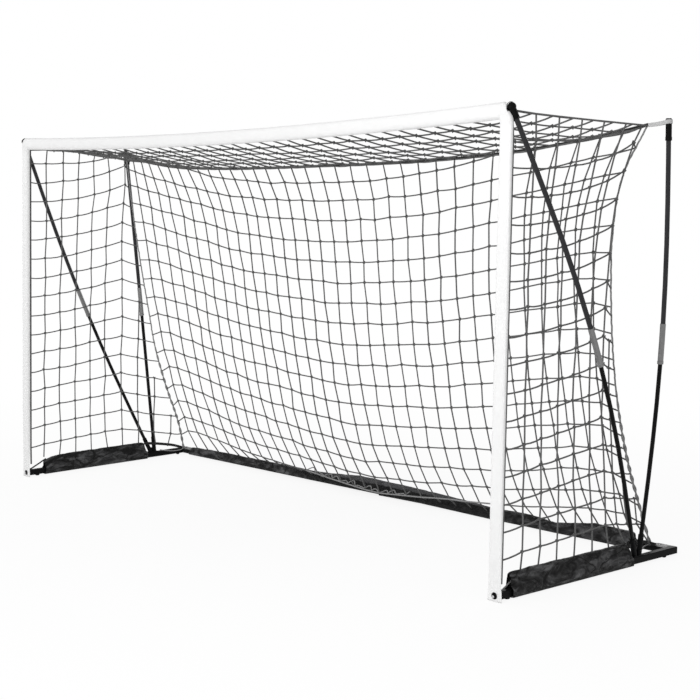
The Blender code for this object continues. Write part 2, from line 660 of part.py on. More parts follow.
def upright_sleeve(name, side):
    """White fabric band from the crossbar to a flared tab with an eyelet at the ground."""
    half = UPRIGHT_WIDTH / 2
    thick = UPRIGHT_HALF_THICKNESS
    top = UPRIGHT_TOP
    sections = [(0.003, TAB_HALF_WIDTH, TAB_HALF_THICKNESS), (0.050, TAB_HALF_WIDTH - 0.002, TAB_HALF_THICKNESS),
                (0.062, half + 0.002, TAB_HALF_THICKNESS), (0.150, half + 0.002, 0.006), (0.400, half, thick),
                (1.000, half + 0.001, thick), (1.600, half, thick), (1.850, half - 0.002, thick),
                (1.930, half - 0.004, thick), (top, half - 0.002, thick)]
    bm = bmesh.new()
    loft(bm, [upright_section(side, z, width, thickness) for z, width, thickness in sections], closed=False)
    band = add_object(f"upright_sleeve_{name}", bm, "white_nylon")
    centre = eyelet_centre(side)
    hole = turned(centre, Vector((0, 1, 0)), [(-0.02, EYELET_BARREL + GAP), (0.02, EYELET_BARREL + GAP)], 16)
    boolean(band, add_object(f"eyelet_hole_{name}", hole, "white_nylon"), "DIFFERENCE")


def eyelet_centre(side):
    # The eyelet hangs on the stud's shank, so it sits higher than the stud by the slack
    return at(side * POST_X, TAB_DEPTH, BAR_AXIS_Z + EYELET_BORE - STUD_SHANK - GAP)


def eyelet(name, side):
    """Black eyelet: two flanges, a barrel between them and a bore for the stud."""
    inner_face = TAB_HALF_THICKNESS + GAP
    outer_face = inner_face + 0.0015
    profile = [(-outer_face, EYELET_BORE), (-outer_face, EYELET_OUTER - 0.001), (-inner_face, EYELET_OUTER),
               (-inner_face, EYELET_BARREL), (inner_face, EYELET_BARREL), (inner_face, EYELET_OUTER),
               (outer_face, EYELET_OUTER - 0.001), (outer_face, EYELET_BORE)]
    ring = turned(eyelet_centre(side), Vector((0, 1, 0)), profile, 16, bored=True)
    add_object(f"eyelet_{name}", ring, "black_plastic")


# Ground sleeves
def skirt_outline(top, half, s, sides=12):
    """Outer section of a ground sleeve as (across, height): round at the foot, folded at the top."""
    points = []
    base = 0.0022
    for i in range(sides):
        a = 2 * math.pi * (i + 0.5) / sides - math.pi / 2
        lift = (1 + math.sin(a)) / 2
        width = half * (1.0 - 0.80 * lift ** 1.6)
        wrinkle = 1.0 + 0.10 * lift * math.sin(31.0 * s + 4.0 * math.cos(a)) * (1 if math.cos(a) > 0 else -1)
        height = base + (top - base) * lift
        points.append((width * wrinkle * math.cos(a) / max(abs(math.cos(a)), 0.36), height))
    return points


def sleeve_top(top, s, start, end):
    """The folded top edge waves a little and drops towards both ends."""
    edge = min(s - start, end - s)
    droop = 0.10 * math.exp(-edge / 0.03)
    return top * (1.0 - droop + 0.018 * math.sin(9.0 * s) + 0.012 * math.sin(23.0 * s))


def lean_back(s, z):
    """The side sleeve's rear end is cut along the diagonal pole that stands behind it."""
    share = max(0.0, (s - (SKIRT_END - 0.10)) / 0.10)
    return s - POLE_LEAN * share * max(0.0, z - BAR_TOP)


def side_skirt(name, side):
    """Black fabric sleeve round a side bar, up to the net's lower edge."""
    rings = 16
    stations = spread(SKIRT_START, SKIRT_END, rings)
    half = BAR / 2 + 0.0085
    loops = []
    for s in stations:
        top = sleeve_top(SKIRT_TOP - 0.006, s, SKIRT_START, SKIRT_END)
        outline = skirt_outline(top, half, s)
        loops.append([at(side * (bar_x(s) + u), lean_back(s, v), v) for u, v in outline])
    bore = rounded_square(BAR / 2 + 0.0012, 0.004, steps=2)
    for s in (SKIRT_END, SKIRT_START):
        loops.append([at(side * (bar_x(s) + u), s, BAR_AXIS_Z + v) for u, v in turned_start(bore)])
    bm = bmesh.new()
    loft(bm, loops, closed=True)
    bmesh.ops.triangulate(bm, faces=bm.faces[:])
    add_object(f"base_sleeve_{name}", bm, "black_nylon")


def turned_start(outline):
    """Start the bore's outline at the foot, like the sleeve's own outline."""
    shift = min(range(len(outline)), key=lambda i: math.hypot(outline[i][0] - 0.004, outline[i][1] + 0.02))
    return outline[shift:] + outline[:shift]


def rear_skirt():
    rings = 40
    start, end = REAR_SKIRT_LEFT, REAR_SKIRT_RIGHT
    loops = []
    for s in spread(start, end, rings):
        top = sleeve_top(REAR_SKIRT_TOP - 0.005, s, start, end)
        outline = skirt_outline(top, REAR_RADIUS + 0.012, s)
        loops.append([at(s, REAR_BAR_DEPTH + u, v) for u, v in outline])
    bore = REAR_RADIUS + 0.0045
    for s in (end, start):
        turns = [2 * math.pi * (i + 0.5) / 12 - math.pi / 2 for i in range(12)]
        loops.append([at(s, REAR_BAR_DEPTH + bore * math.cos(a), BAR_AXIS_Z + bore * math.sin(a)) for a in turns])
    bm = bmesh.new()
    loft(bm, loops, closed=True)
    bmesh.ops.triangulate(bm, faces=bm.faces[:])
    add_object("base_sleeve_rear", bm, "black_nylon")


# Net
def smooth_curve(points):
    """Catmull-Rom curve through hand-set points, for a parameter from 0 to 1."""
    knots = [Vector(p) for p in points]
    knots = [2 * knots[0] - knots[1]] + knots + [2 * knots[-1] - knots[-2]]
    spans = len(points) - 1

    def curve(t):
        place = min(max(t, 0.0), 1.0) * spans
        i = min(int(place), spans - 1)
        f = place - i
        a, b, c, d = knots[i:i + 4]
        return 0.5 * (2 * b + (c - a) * f + (2 * a - 5 * b + 4 * c - d) * f ** 2 + (3 * b - a - 3 * c + d) * f ** 3)
    return curve


corner_curve = smooth_curve(NET_CORNER)
crease_curve = smooth_curve(NET_CREASE)
middle_curve = smooth_curve(NET_MIDDLE)


def back_surface(u, v):
    """Back of the net: u from the left corner (0) to the right one (1), v from the top rope down."""
    s = 2 * u - 1
    corner, middle = corner_curve(v), middle_curve(v)
    weight = abs(s) ** BLEND_POWER
    depth = middle.y + (corner.y - middle.y) * weight
    z = middle.z + (corner.z - middle.z) * weight
    x = s * (corner.x - EDGE_SHIFT)
    return at(x, depth + 0.6 * EDGE_SHIFT * abs(s), z - EDGE_SHIFT * (1 - v))


def coons(left, right, top, bottom):
    """Surface between four edge curves: left and right run down, top and bottom run across."""
    def surface(u, v):
        ruled_across = left(v) * (1 - u) + right(v) * u
        ruled_down = top(u) * (1 - v) + bottom(u) * v
        corners = (left(0) * (1 - u) + right(0) * u) * (1 - v) + (left(1) * (1 - u) + right(1) * u) * v
        return ruled_across + ruled_down - corners
    return surface


def side_surface(side):
    """Side of the net: flat from the upright to the crease, then back and inwards to the seam."""
    hem = [(0.0, SKIRT_START + 0.004, 0.116), (0.003, 0.32, 0.118), (0.005, 0.52, 0.118)]
    foot = [(bar_x(depth) + outward, depth, z) for outward, depth, z in hem]
    foot += [NET_CREASE[-1], (bar_x(0.89) - 0.024, 0.89, 0.104), NET_CORNER[-1]]
    foot_curve = smooth_curve(foot)

    def front(v):
        """Runs down behind the upright and turns back to the ground sleeve at its lower end."""
        z = (UPRIGHT_TOP - 0.0105) * (1 - v) + foot[0][2] * v
        depth = upright_depth(z) + UPRIGHT_HALF_THICKNESS + ROPE + 0.003
        turn = max(0.0, (v - 0.8) / 0.2) ** 2
        return Vector((NET_X + (foot[0][0] - NET_X) * turn, depth + (foot[0][1] - depth) * turn, z))

    def rear(v):
        return corner_curve(v) + Vector((0.002, -EDGE_SHIFT, -EDGE_SHIFT * (1 - v)))

    def patch(u, v):
        if u <= CREASE_SHARE:
            share, start, end = u / CREASE_SHARE, front, crease_curve
        else:
            share, start, end = (u - CREASE_SHARE) / (1 - CREASE_SHARE), crease_curve, rear
        point = start(v).lerp(end(v), share)
        to_sleeve = foot_curve(u) - start(1.0).lerp(end(1.0), share)
        droop = 0.020 * math.sin(math.pi * min(u / CREASE_SHARE, 1.0)) * (1 - v) ** 4
        return point + to_sleeve * v ** 6 - Vector((0.0, EDGE_SHIFT * u * v ** 6, droop))

    return lambda u, v: mirrored(patch(u, v), side)


def top_surface():
    drop = SLEEVE_HALF_HEIGHT * 0.80

    def front(u):
        x = (2 * u - 1) * (NET_X - 0.006)
        bar = crossbar_path()(x)
        return Vector((x, CROSSBAR_DEPTH + SLEEVE_HALF_DEPTH * 0.72 + ROPE, bar.z - drop))

    def rear(u):
        s = 2 * u - 1
        weight = abs(s) ** BLEND_POWER
        corner, middle = corner_curve(0), middle_curve(0)
        return Vector((s * (corner.x - EDGE_SHIFT), middle.y + (corner.y - middle.y) * weight - EDGE_SHIFT,
                       middle.z + (corner.z - middle.z) * weight + EDGE_SHIFT))

    def flank(sign):
        start, end = front((sign + 1) / 2), rear((sign + 1) / 2)
        return lambda v: start * (1 - v) + end * v + Vector((0.0, 0.0, -0.016 * math.sin(math.pi * v)))

    patch = coons(flank(-1), flank(1), front, rear)
    return lambda u, v: at(*patch(u, v))


def net_panel(name, surface, meshes, head=ROPE):
    """Net of diamond-section strands on a surface, with a thicker rope round its edge."""
    columns, rows = meshes
    bm = bmesh.new()

    def half_width(i, j):
        if j == 0:
            return head
        return ROPE if i in (0, columns) or j == rows else STRAND

    def normal(u, v):
        step = 1e-3
        u0, u1, v0, v1 = max(u - step, 0), min(u + step, 1), max(v - step, 0), min(v + step, 1)
        return (surface(u1, v) - surface(u0, v)).cross(surface(u, v1) - surface(u, v0)).normalized()

    knots = {}
    for i in range(columns + 1):
        for j in range(rows + 1):
            u, v = i / columns, j / rows
            lift = normal(u, v) * half_width(i, j)
            point = surface(u, v)
            knots[i, j] = (bm.verts.new(point + lift), bm.verts.new(point - lift))

    def inset(i, j, di, dj):
        """A hole's corner next to knot (i, j), moved into the mesh by the strands' half widths."""
        u, v = i / columns, j / rows
        point = surface(u, v)
        along = (surface(u + di / columns, v) - point).normalized()
        down = (surface(u, v + dj / rows) - point).normalized()
        upright_strand = ROPE if i in (0, columns) else STRAND
        level_strand = half_width(1, j)
        return bm.verts.new(point + along * upright_strand + down * level_strand)

    for i in range(columns):
        for j in range(rows):
            frame = [knots[i, j], knots[i + 1, j], knots[i + 1, j + 1], knots[i, j + 1]]
            hole = [inset(i, j, 1, 1), inset(i + 1, j, -1, 1), inset(i + 1, j + 1, -1, -1), inset(i, j + 1, 1, -1)]
            for k in range(4):
                n = (k + 1) % 4
                bm.faces.new((frame[k][0], frame[n][0], hole[n], hole[k]))
                bm.faces.new((frame[n][1], frame[k][1], hole[k], hole[n]))

    # The rope's outer edge closes the panel all the way round
    border = [(i, 0) for i in range(columns)] + [(columns, j) for j in range(rows)]
    border += [(i, rows) for i in range(columns, 0, -1)] + [(0, j) for j in range(rows, 0, -1)]
    rim = []
    for i, j in border:
        u, v = i / columns, j / rows
        point = surface(u, v)
        outward = Vector((0.0, 0.0, 0.0))
        if i in (0, columns):
            outward += (point - surface(u + (0.01 if i == 0 else -0.01), v)).normalized()
        if j in (0, rows):
            outward += (point - surface(u, v + (0.01 if j == 0 else -0.01))).normalized()
        rim.append(bm.verts.new(point + outward * half_width(i, j)))
    for k, (i, j) in enumerate(border):
        n = (k + 1) % len(border)
        following = knots[border[n]]
        bm.faces.new((knots[i, j][0], rim[k], rim[n], following[0]))
        bm.faces.new((rim[k], knots[i, j][1], following[1], rim[n]))
    bmesh.ops.triangulate(bm, faces=bm.faces[:])
    add_object(name, bm, "white_twine", smooth_angle=0)


def build_side(name, side):
    side_bar(name, side)
    bar_plug(name, side, front=True)
    bar_plug(name, side, front=False)
    front_stud(name, side)
    for place in ("front", "rear"):
        rubber_foot(place, name, side)
    pole_socket(name, side)
    rear_corner(name, side)
    rear_bar_outer(name, side)
    for place in ("corner", "middle"):
        snap_button(place, name, side)
    pole("diagonal", name, diagonal_path(side), chord(DIAGONAL_START, DIAGONAL_END))
    pole("rear", name, rear_pole_path(side), chord(REAR_POLE_START, REAR_POLE_END))
    rear_pole_cap(name, side)
    corner_strap(name, side)
    top_elbow(name, side)
    crossbar_pole_outer(name, side)
    upright_sleeve(name, side)
    eyelet(name, side)
    side_skirt(name, side)
    net_panel(f"net_{name}", side_surface(side), SIDE_MESHES)


def build():
    clear_scene()
    for name, side in SIDES.items():
        build_side(name, side)
    rear_bar_middle()
    crossbar_pole_middle()
    crossbar_sleeve()
    rear_skirt()
    net_panel("net_back", back_surface, BACK_MESHES, head=HEAD_ROPE)
    net_panel("net_top", top_surface(), TOP_MESHES)


build()
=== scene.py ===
import math
import random
import bmesh
import bpy
import numpy as np
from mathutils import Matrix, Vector, noise


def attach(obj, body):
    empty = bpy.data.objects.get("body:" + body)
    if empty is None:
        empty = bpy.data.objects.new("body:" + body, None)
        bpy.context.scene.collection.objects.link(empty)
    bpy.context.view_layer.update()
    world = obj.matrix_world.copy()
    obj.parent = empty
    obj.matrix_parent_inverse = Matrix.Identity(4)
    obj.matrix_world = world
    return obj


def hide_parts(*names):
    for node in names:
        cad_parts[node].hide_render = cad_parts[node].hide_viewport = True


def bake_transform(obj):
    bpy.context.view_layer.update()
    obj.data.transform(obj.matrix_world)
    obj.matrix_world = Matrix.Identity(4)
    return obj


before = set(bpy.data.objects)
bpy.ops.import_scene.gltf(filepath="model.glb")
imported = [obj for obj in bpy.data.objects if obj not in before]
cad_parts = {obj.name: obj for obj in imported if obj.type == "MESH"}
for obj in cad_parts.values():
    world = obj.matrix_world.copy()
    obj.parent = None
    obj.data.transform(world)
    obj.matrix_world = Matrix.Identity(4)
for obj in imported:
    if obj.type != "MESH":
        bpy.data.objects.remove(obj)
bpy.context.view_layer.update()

# ------------------------------------------------------------------ sizes, as in the part's source
FRONT_Y = -0.59975            # where depth starts, at the front of the side bars
POST_X = 1.866                # middle of each upright
BAR_SPLAY = 0.030             # metres outward for each metre back
BAR_TOP = 0.0403
REAR_BAR_DEPTH = 1.168
CROSSBAR_Z = 1.987            # middle of the crossbar at its ends
CROSSBAR_SAG = 0.037
CROSSBAR_DEPTH = 0.040
CROSSBAR_END = 1.877
UPRIGHT_TOP = 1.9475
HOOD_TOP = 2.0205             # the upright's cloth goes on over the end of the crossbar's
TAB_DEPTH = -0.0040           # the flat tab at the upright's foot, which the stud holds
TAB_TOP = 0.060
SIDES = ((-1, "left"), (1, "right"))

# ------------------------------------------------------------------ the net's lines, as (x, depth, z)
# Seam of side and back, crease of the side panels, and the back's middle, each from the top down
NET_CORNER = [(1.983, 0.822, 1.955), (1.887, 0.782, 1.739), (1.838, 0.784, 1.492), (1.815, 0.811, 1.235),
              (1.801, 0.850, 0.980), (1.799, 0.897, 0.729), (1.797, 0.975, 0.477), (1.803, 1.070, 0.240),
              (1.826, 1.130, 0.052)]
NET_CREASE = [(1.965, 0.775, 1.947), (1.930, 0.782, 1.840), (1.889, 0.728, 1.619), (1.876, 0.711, 1.367),
              (1.869, 0.697, 1.118), (1.866, 0.691, 0.863), (1.875, 0.687, 0.606), (1.889, 0.691, 0.355),
              (1.894, 0.705, 0.118)]
NET_MIDDLE = [(0.0, 0.665, 1.822), (0.0, 0.734, 1.634), (0.0, 0.769, 1.405), (0.0, 0.795, 1.178),
              (0.0, 0.823, 0.949), (0.0, 0.863, 0.716), (0.0, 0.911, 0.486), (0.0, 0.985, 0.259),
              (0.0, 1.110, 0.058)]
BACK_COLUMNS, BACK_ROWS = 35, 17
# How the back's columns and rows leave an even spacing, in meshes
COLUMN_DRIFT = [(0, 0.0), (1, 0.0), (3, 0.20), (5, 0.36), (8, 0.28), (11, 0.12), (14, -0.06), (17, -0.17),
                (20, -0.05), (23, 0.13), (27, 0.28), (31, 0.27), (33, 0.12), (35, 0.0)]
ROW_STATIONS = (0.0, 0.20, 0.30, 0.40, 0.50, 0.60, 0.75, 0.87, 0.96, 1.0)
HIGH_ROW_DRIFT = (-0.03, -0.08, -0.18, -0.28, -0.47, -0.72, -0.90, -0.99, -1.03, -1.05)
LOW_ROW_DRIFT = (0.30, 0.03, -0.20, -0.32, -0.53, -0.70, -1.20, -1.52, -1.50, -1.08)
FIRST_ROW_CLIMB = 1.35        # the first row climbs this many times what the tables say
FOOT_MESH = 0.105             # height of a mesh past the lower end of the net's lines
# Where the net is tied to the rear sleeve, and that sleeve's upper and lower edges, as (x, z)
FOOT_DEPTH = 1.150
FOOT_LINE = [(-1.76, 0.063), (-1.45, 0.068), (-1.16, 0.064), (-0.73, 0.059), (-0.54, 0.040), (-0.28, 0.035),
             (0.0, 0.029), (0.15, 0.032), (0.39, 0.037), (0.57, 0.036), (0.72, 0.040), (0.83, 0.042),
             (0.94, 0.055), (1.08, 0.060), (1.25, 0.050), (1.49, 0.082), (1.69, 0.078)]
SLEEVE_TOP = [(-1.79, 0.058), (-1.47, 0.064), (-1.18, 0.064), (-0.75, 0.065), (-0.56, 0.061), (-0.18, 0.088),
              (0.14, 0.084), (0.50, 0.074), (0.82, 0.060), (1.07, 0.064), (1.24, 0.050), (1.48, 0.086),
              (1.69, 0.083)]
SLEEVE_FOOT = [(-1.8, 0.004), (0.0, 0.004), (0.15, 0.007), (0.32, 0.009), (0.58, 0.006), (0.8, 0.003)]
SIDE_COLUMNS, SIDE_ROWS = 6, 16
SHORT_COLUMNS = 3             # behind the side panel's crease
MESH = 0.113
RIGHT_EDGE_BOW = 0.7          # power of the curve that the top net's right edge follows
LEFT_EDGE_BOW = 0.040         # four times the height of the bow in its left edge
TWINE = 0.0037                # radius of the net's twine
EDGE_CORD = 0.0040            # radius of the cords along the net's edges
HEAD_CORD = 0.0050            # and of the dark one along the top of the back
CORD_STEP = 0.03              # stations along those cords
BACK_SHAKE = 0.0045           # how far the back's knots sit off the true grid
SHAKE = 0.0040                # and the sides' and the top's
SEAM_ROOM = 0.035             # the nearest that a row's last knot comes to the seam
COATED_CLOTH = 0.0008         # thickness of the white cloth
THIN_NYLON = 0.0007           # and of the black

chance = random.Random(11)


def at(x, depth, z):
    """A place by its depth behind the front of the side bars."""
    return Vector((x, depth + FRONT_Y, z))


def bar_x(depth):
    """The side bars splay outward toward the rear."""
    return POST_X + BAR_SPLAY * depth


def spread(start, end, count):
    """Even stations, count steps apart, with both ends."""
    return [start + (end - start) * i / count for i in range(count + 1)]


def smooth_curve(points):
    """Curve through given points, for a parameter from 0 to 1."""
    knots = [Vector(p) for p in points]
    knots = [2 * knots[0] - knots[1]] + knots + [2 * knots[-1] - knots[-2]]
    spans = len(points) - 1

    def curve(t):
        place = min(max(t, 0.0), 1.0) * spans
        i = min(int(place), spans - 1)
        f = place - i
        a, b, c, d = knots[i:i + 4]
        square, cube = 2 * a - 5 * b + 4 * c - d, 3 * b - a - 3 * c + d
        return 0.5 * (2 * b + (c - a) * f + square * f ** 2 + cube * f ** 3)
    return curve


def read_off(table, place):
    """Value at a place in a table of pairs."""
    return float(np.interp(place, [row[0] for row in table], [row[1] for row in table]))


def resampled(points, step):
    """The same route with stations about a step apart."""
    out = [points[0]]
    for a, b in zip(points, points[1:]):
        count = max(1, round((b - a).length / step))
        out += [a.lerp(b, i / count) for i in range(1, count + 1)]
    return out


# ------------------------------------------------------------------ finishes
class Value:
    """A shader socket that joins in sums like a number."""

    def __init__(self, finish, socket):
        self.finish = finish
        self.socket = socket

    def sum_of(self, operation, *others):
        return self.finish.node("ShaderNodeMath", {"operation": operation}, dict(enumerate(others)))

    def __add__(self, other):
        return self.sum_of("ADD", self, other)

    __radd__ = __add__

    def __sub__(self, other):
        return self.sum_of("SUBTRACT", self, other)

    def __rsub__(self, other):
        return self.sum_of("SUBTRACT", other, self)

    def __mul__(self, other):
        return self.sum_of("MULTIPLY", self, other)

    __rmul__ = __mul__

    def __truediv__(self, other):
        return self.sum_of("DIVIDE", self, other)

    def __rtruediv__(self, other):
        return self.sum_of("DIVIDE", other, self)

    def __pow__(self, other):
        return self.sum_of("POWER", self, other)

    def __abs__(self):
        return self.sum_of("ABSOLUTE", self)

    def sine(self):
        return self.sum_of("SINE", self)

    def above(self, edge):
        return self.sum_of("GREATER_THAN", self, edge)

    def kept(self):
        """The value held between 0 and 1."""
        return self.finish.node("ShaderNodeClamp", {}, {"Value": self})


class Finish:
    """One material: a Principled shader and the nodes that vary it."""

    def __init__(self, name, colour, roughness, **steady):
        self.material = bpy.data.materials.new(name)
        self.material.use_nodes = True
        self.tree = self.material.node_tree
        self.shader = self.tree.nodes["Principled BSDF"]
        self.material.diffuse_color = (*colour, 1.0)
        self.shader.inputs["Base Color"].default_value = (*colour, 1.0)
        self.shader.inputs["Roughness"].default_value = roughness
        for socket, value in steady.items():
            self.shader.inputs[socket.replace("_", " ")].default_value = value

    def node(self, kind, settings, sockets, output=0):
        """Any node: its settings first, then the values or links of its sockets."""
        made = self.tree.nodes.new(kind)
        for name, value in settings.items():
            if name == "stops":
                ramp = made.color_ramp
                while len(ramp.elements) < len(value):
                    ramp.elements.new(0.5)
                for element, (place, level) in zip(ramp.elements, value):
                    element.position = place
                    element.color = (level, level, level, 1.0)
            else:
                setattr(made, name, value)
        for name, value in sockets.items():
            if isinstance(value, Value):
                self.tree.links.new(value.socket, made.inputs[name])
            else:
                made.inputs[name].default_value = value
        return Value(self, made.outputs[output])

    def place(self):
        """Where a point sits on the goal, in metres."""
        return self.node("ShaderNodeTexCoord", {}, {}, "Object")

    def cloth_place(self):
        """Where it sits on the cloth's or cord's own map, in metres."""
        return self.node("ShaderNodeTexCoord", {}, {}, "UV")

    def stretched(self, coordinates, scale, turn=(0.0, 0.0, 0.0)):
        return self.node("ShaderNodeMapping", {}, {"Vector": coordinates, "Scale": scale, "Rotation": turn})

    def part(self, coordinates, axis):
        return self.node("ShaderNodeSeparateXYZ", {}, {"Vector": coordinates}, axis)

    def cloud(self, coordinates, scale, detail=2.0, rough=0.5, distortion=0.0):
        return self.node("ShaderNodeTexNoise", {}, {"Vector": coordinates, "Scale": scale, "Detail": detail,
                                                    "Roughness": rough, "Distortion": distortion})

    def ramp(self, value, *stops):
        return self.node("ShaderNodeValToRGB", {"stops": stops}, {"Fac": value})

    def mixed(self, share, first, second):
        first = first if isinstance(first, Value) else (*first, 1.0)
        second = second if isinstance(second, Value) else (*second, 1.0)
        return self.node("ShaderNodeMix", {"data_type": "RGBA"}, {0: share, 6: first, 7: second}, 2)

    def raised(self, height, strength, distance, under=None):
        sockets = {"Height": height, "Strength": strength, "Distance": distance}
        if under is not None:
            sockets["Normal"] = under
        return self.node("ShaderNodeBump", {}, sockets)

    def feed(self, **inputs):
        for name, value in inputs.items():
            self.tree.links.new(value.socket, self.shader.inputs[name.replace("_", " ")])


PLATE_FACE = 0.0375           # height above which the rear corners' plates get a painted sheen
ROLL_MIDDLE = 0.15            # x of the middle of the low roll on the rear bar
REAR_HALF = 0.40              # y behind which cloth belongs to the rear bar
NYLON_THREAD = 0.0008


def powder_coat(name, colour, gloss, paler=None):
    """Baked powder paint on steel: fine orange peel, dust and rubbed places; the last colour, if given, is
    painted on the upward faces as a speckled painted sheen.
    """
    made = Finish(name, colour, gloss, Specular_IOR_Level=0.05)
    spot = made.place()
    peel = made.cloud(spot, 620.0, 2.0)
    dust = made.cloud(spot, 7.0, 5.0, 0.62)
    scuffs = made.cloud(made.stretched(spot, (3.0, 1.0, 3.0)), 46.0, 4.0, 0.7)
    rubbed = made.ramp(scuffs, (0.62, 0.0), (0.74, 1.0))
    shade = made.mixed(dust, [c * 0.7 for c in colour], [c * 1.6 + 0.002 for c in colour])
    tint = made.mixed(rubbed * 0.30, shade, (0.030, 0.030, 0.031))
    # Painted sheen: faces above PLATE_FACE take the given pale grey, speckled, for the light on the plates'
    # tops
    if paler:
        speckle = made.ramp(made.cloud(spot, 90.0, 4.0, 0.7), (0.36, 0.25), (0.52, 1.0))
        top = made.part(spot, "Z").above(PLATE_FACE)
        tint = made.mixed((top * speckle).kept(), tint, paler)
    made.feed(Base_Color=tint,
              Roughness=(dust * 0.22 + gloss - 0.10 + rubbed * 0.10).kept(),
              Normal=made.raised(peel + dust * 0.4, 0.22, 0.0006))
    return made.material


def glass_fibre(name, colour, gloss):
    """Pultruded rod: streaks along the rod under a clear skin."""
    made = Finish(name, colour, gloss, Specular_IOR_Level=0.09, Coat_Weight=0.01, Coat_Roughness=0.25)
    spot = made.place()
    streak = made.cloud(made.stretched(spot, (260.0, 260.0, 7.0)), 1.0, 3.0, 0.6)
    handled = made.cloud(spot, 11.0, 4.0, 0.6)
    made.feed(Base_Color=made.mixed((streak * 0.7 + handled * 0.5 - 0.1).kept(), [c * 0.7 for c in colour],
                                    [c * 1.5 + 0.002 for c in colour]),
              Roughness=(handled * 0.25 + gloss - 0.12).kept(),
              Normal=made.raised(streak, 0.18, 0.0005))
    return made.material


def drawn_steel(name, colour, gloss):
    """Bare drawn tube: rings from the die, light stains."""
    made = Finish(name, colour, gloss, Metallic=1.0)
    spot = made.place()
    rings = made.cloud(made.stretched(spot, (30.0, 30.0, 900.0)), 1.0, 2.0)
    stain = made.cloud(spot, 34.0, 5.0, 0.65)
    dull, bright = [c * 0.62 for c in colour], [min(1.0, c * 1.22) for c in colour]
    made.feed(Base_Color=made.mixed(stain, dull, bright),
              Roughness=(stain * 0.30 + gloss - 0.15).kept(),
              Normal=made.raised(rings, 0.12, 0.0004))
    return made.material


def moulded_plastic(name, colour, gloss, grain):
    """Plastic or rubber from a mould: fine pores and patches that hands have polished."""
    made = Finish(name, colour, gloss, Specular_IOR_Level=0.07)
    spot = made.place()
    pores = made.cloud(spot, grain, 3.0, 0.6)
    paler = made.cloud(spot, 60.0, 4.0, 0.6)
    made.feed(Base_Color=made.mixed(paler, [c * 0.7 for c in colour], [c * 1.7 + 0.004 for c in colour]),
              Roughness=(paler * 0.25 + gloss - 0.12).kept(),
              Normal=made.raised(pores, 0.2, 0.0005))
    return made.material


def woven_cloth(name, colour, shade, thread, gloss, sheen, folds):
    """Plain weave on the cloth's own map, in metres: threads, creases with painted shade in their hollows,
    and handling marks.
    """
    made = Finish(name, colour, gloss, Sheen_Weight=sheen, Sheen_Roughness=0.4, Specular_IOR_Level=0.35)
    chart = made.cloth_place()
    warp = (made.part(chart, "X") * (2 * math.pi / thread)).sine()
    weft = (made.part(chart, "Y") * (2 * math.pi / thread)).sine()
    weave = warp * weft * 0.5 + 0.5
    crease = made.cloud(made.stretched(chart, (1.0, 0.45, 1.0)), folds, 4.0, 0.55, 0.6)
    soil = made.cloud(chart, 5.0, 5.0, 0.62)
    # Colour goes toward shade where the soil cloud is low (dirt) and where the crease cloud is low (painted
    # shade in the folds)
    tint = made.mixed((soil * 0.7 + crease * 0.5 - 0.1).kept(), shade, colour)
    made.feed(Base_Color=made.mixed(weave * 0.10, tint, [c * 0.72 for c in colour]),
              Roughness=(gloss - 0.10 + soil * 0.2).kept(),
              Normal=made.raised(crease, 0.5, 0.004, made.raised(weave, 0.25, thread * 0.25)))
    return made.material


def crumpled_nylon(name, colour, shade, roll=0.0):
    """Thin black nylon: a fine weave, painted highlights on the ridges, and painted shade in the creases
    between them.
    """
    made = Finish(name, colour, 0.46, Sheen_Weight=0.04, Sheen_Roughness=0.4, Specular_IOR_Level=0.14)
    chart = made.cloth_place()
    waves = 2 * math.pi / NYLON_THREAD
    weave = (made.part(chart, "X") * waves).sine() * (made.part(chart, "Y") * waves).sine() * 0.5 + 0.5
    slanted = made.stretched(chart, (1.0, 0.36, 1.0), (0.0, 0.0, math.radians(30)))
    fold = made.cloud(slanted, 26.0, 6.0, 0.64, 0.8)
    crease = abs(made.cloud(slanted, 12.0, 3.0, 0.5, 0.8) - 0.5) * 2.0
    # Painted highlight: the ridges of the fold cloud take the lighter colour
    lit = made.ramp(fold, (0.40, 0.0), (0.52, 0.30), (0.66, 1.0))
    # Painted shade: thin dark lines along the creases
    line = made.ramp(crease, (0.02, 0.0), (0.10, 1.0))
    spot = made.place()
    # The painted highlights are left out on the low roll in the middle of the rear bar, so it stays dark
    off_middle = abs(made.part(spot, "X") - ROLL_MIDDLE)
    rear = made.part(spot, "Y").above(REAR_HALF) * made.ramp(off_middle, (0.70, 1.0), (0.95, 0.0))
    tint = made.mixed((lit * line * (1.0 - rear * roll)).kept(), shade, colour)
    threads = made.raised(weave, 0.2, NYLON_THREAD * 0.25)
    made.feed(Base_Color=made.mixed(weave * 0.15, tint, [c * 0.6 for c in colour]),
              Roughness=(0.52 - lit * 0.16).kept(),
              Normal=made.raised(fold + line * 0.4, 0.9, 0.010, threads))
    return made.material


def twisted_twine(name, colour, groove_shade, lay, gloss):
    """Three-strand twine: the map runs along the cord in metres and once round it; painted shade darkens the
    grooves between the strands.
    """
    made = Finish(name, colour, gloss, Specular_IOR_Level=0.3)
    chart = made.cloth_place()
    along, around = made.part(chart, "X"), made.part(chart, "Y")
    strand = abs(((along / lay + around) * (3 * math.pi)).sine())
    fibre = made.cloud(made.stretched(chart, (900.0, 30.0, 1.0)), 1.0, 3.0, 0.6)
    grey = made.cloud(made.place(), 9.0, 3.0)
    body = made.mixed(grey, [c * 0.82 for c in colour], [min(1.0, c * 1.12) for c in colour])
    # Painted shade in the grooves between the strands
    made.feed(Base_Color=made.mixed((1.0 - strand) ** 2.0, body, groove_shade),
              Normal=made.raised(strand + fibre * 0.15, 0.7, 0.0012))
    return made.material


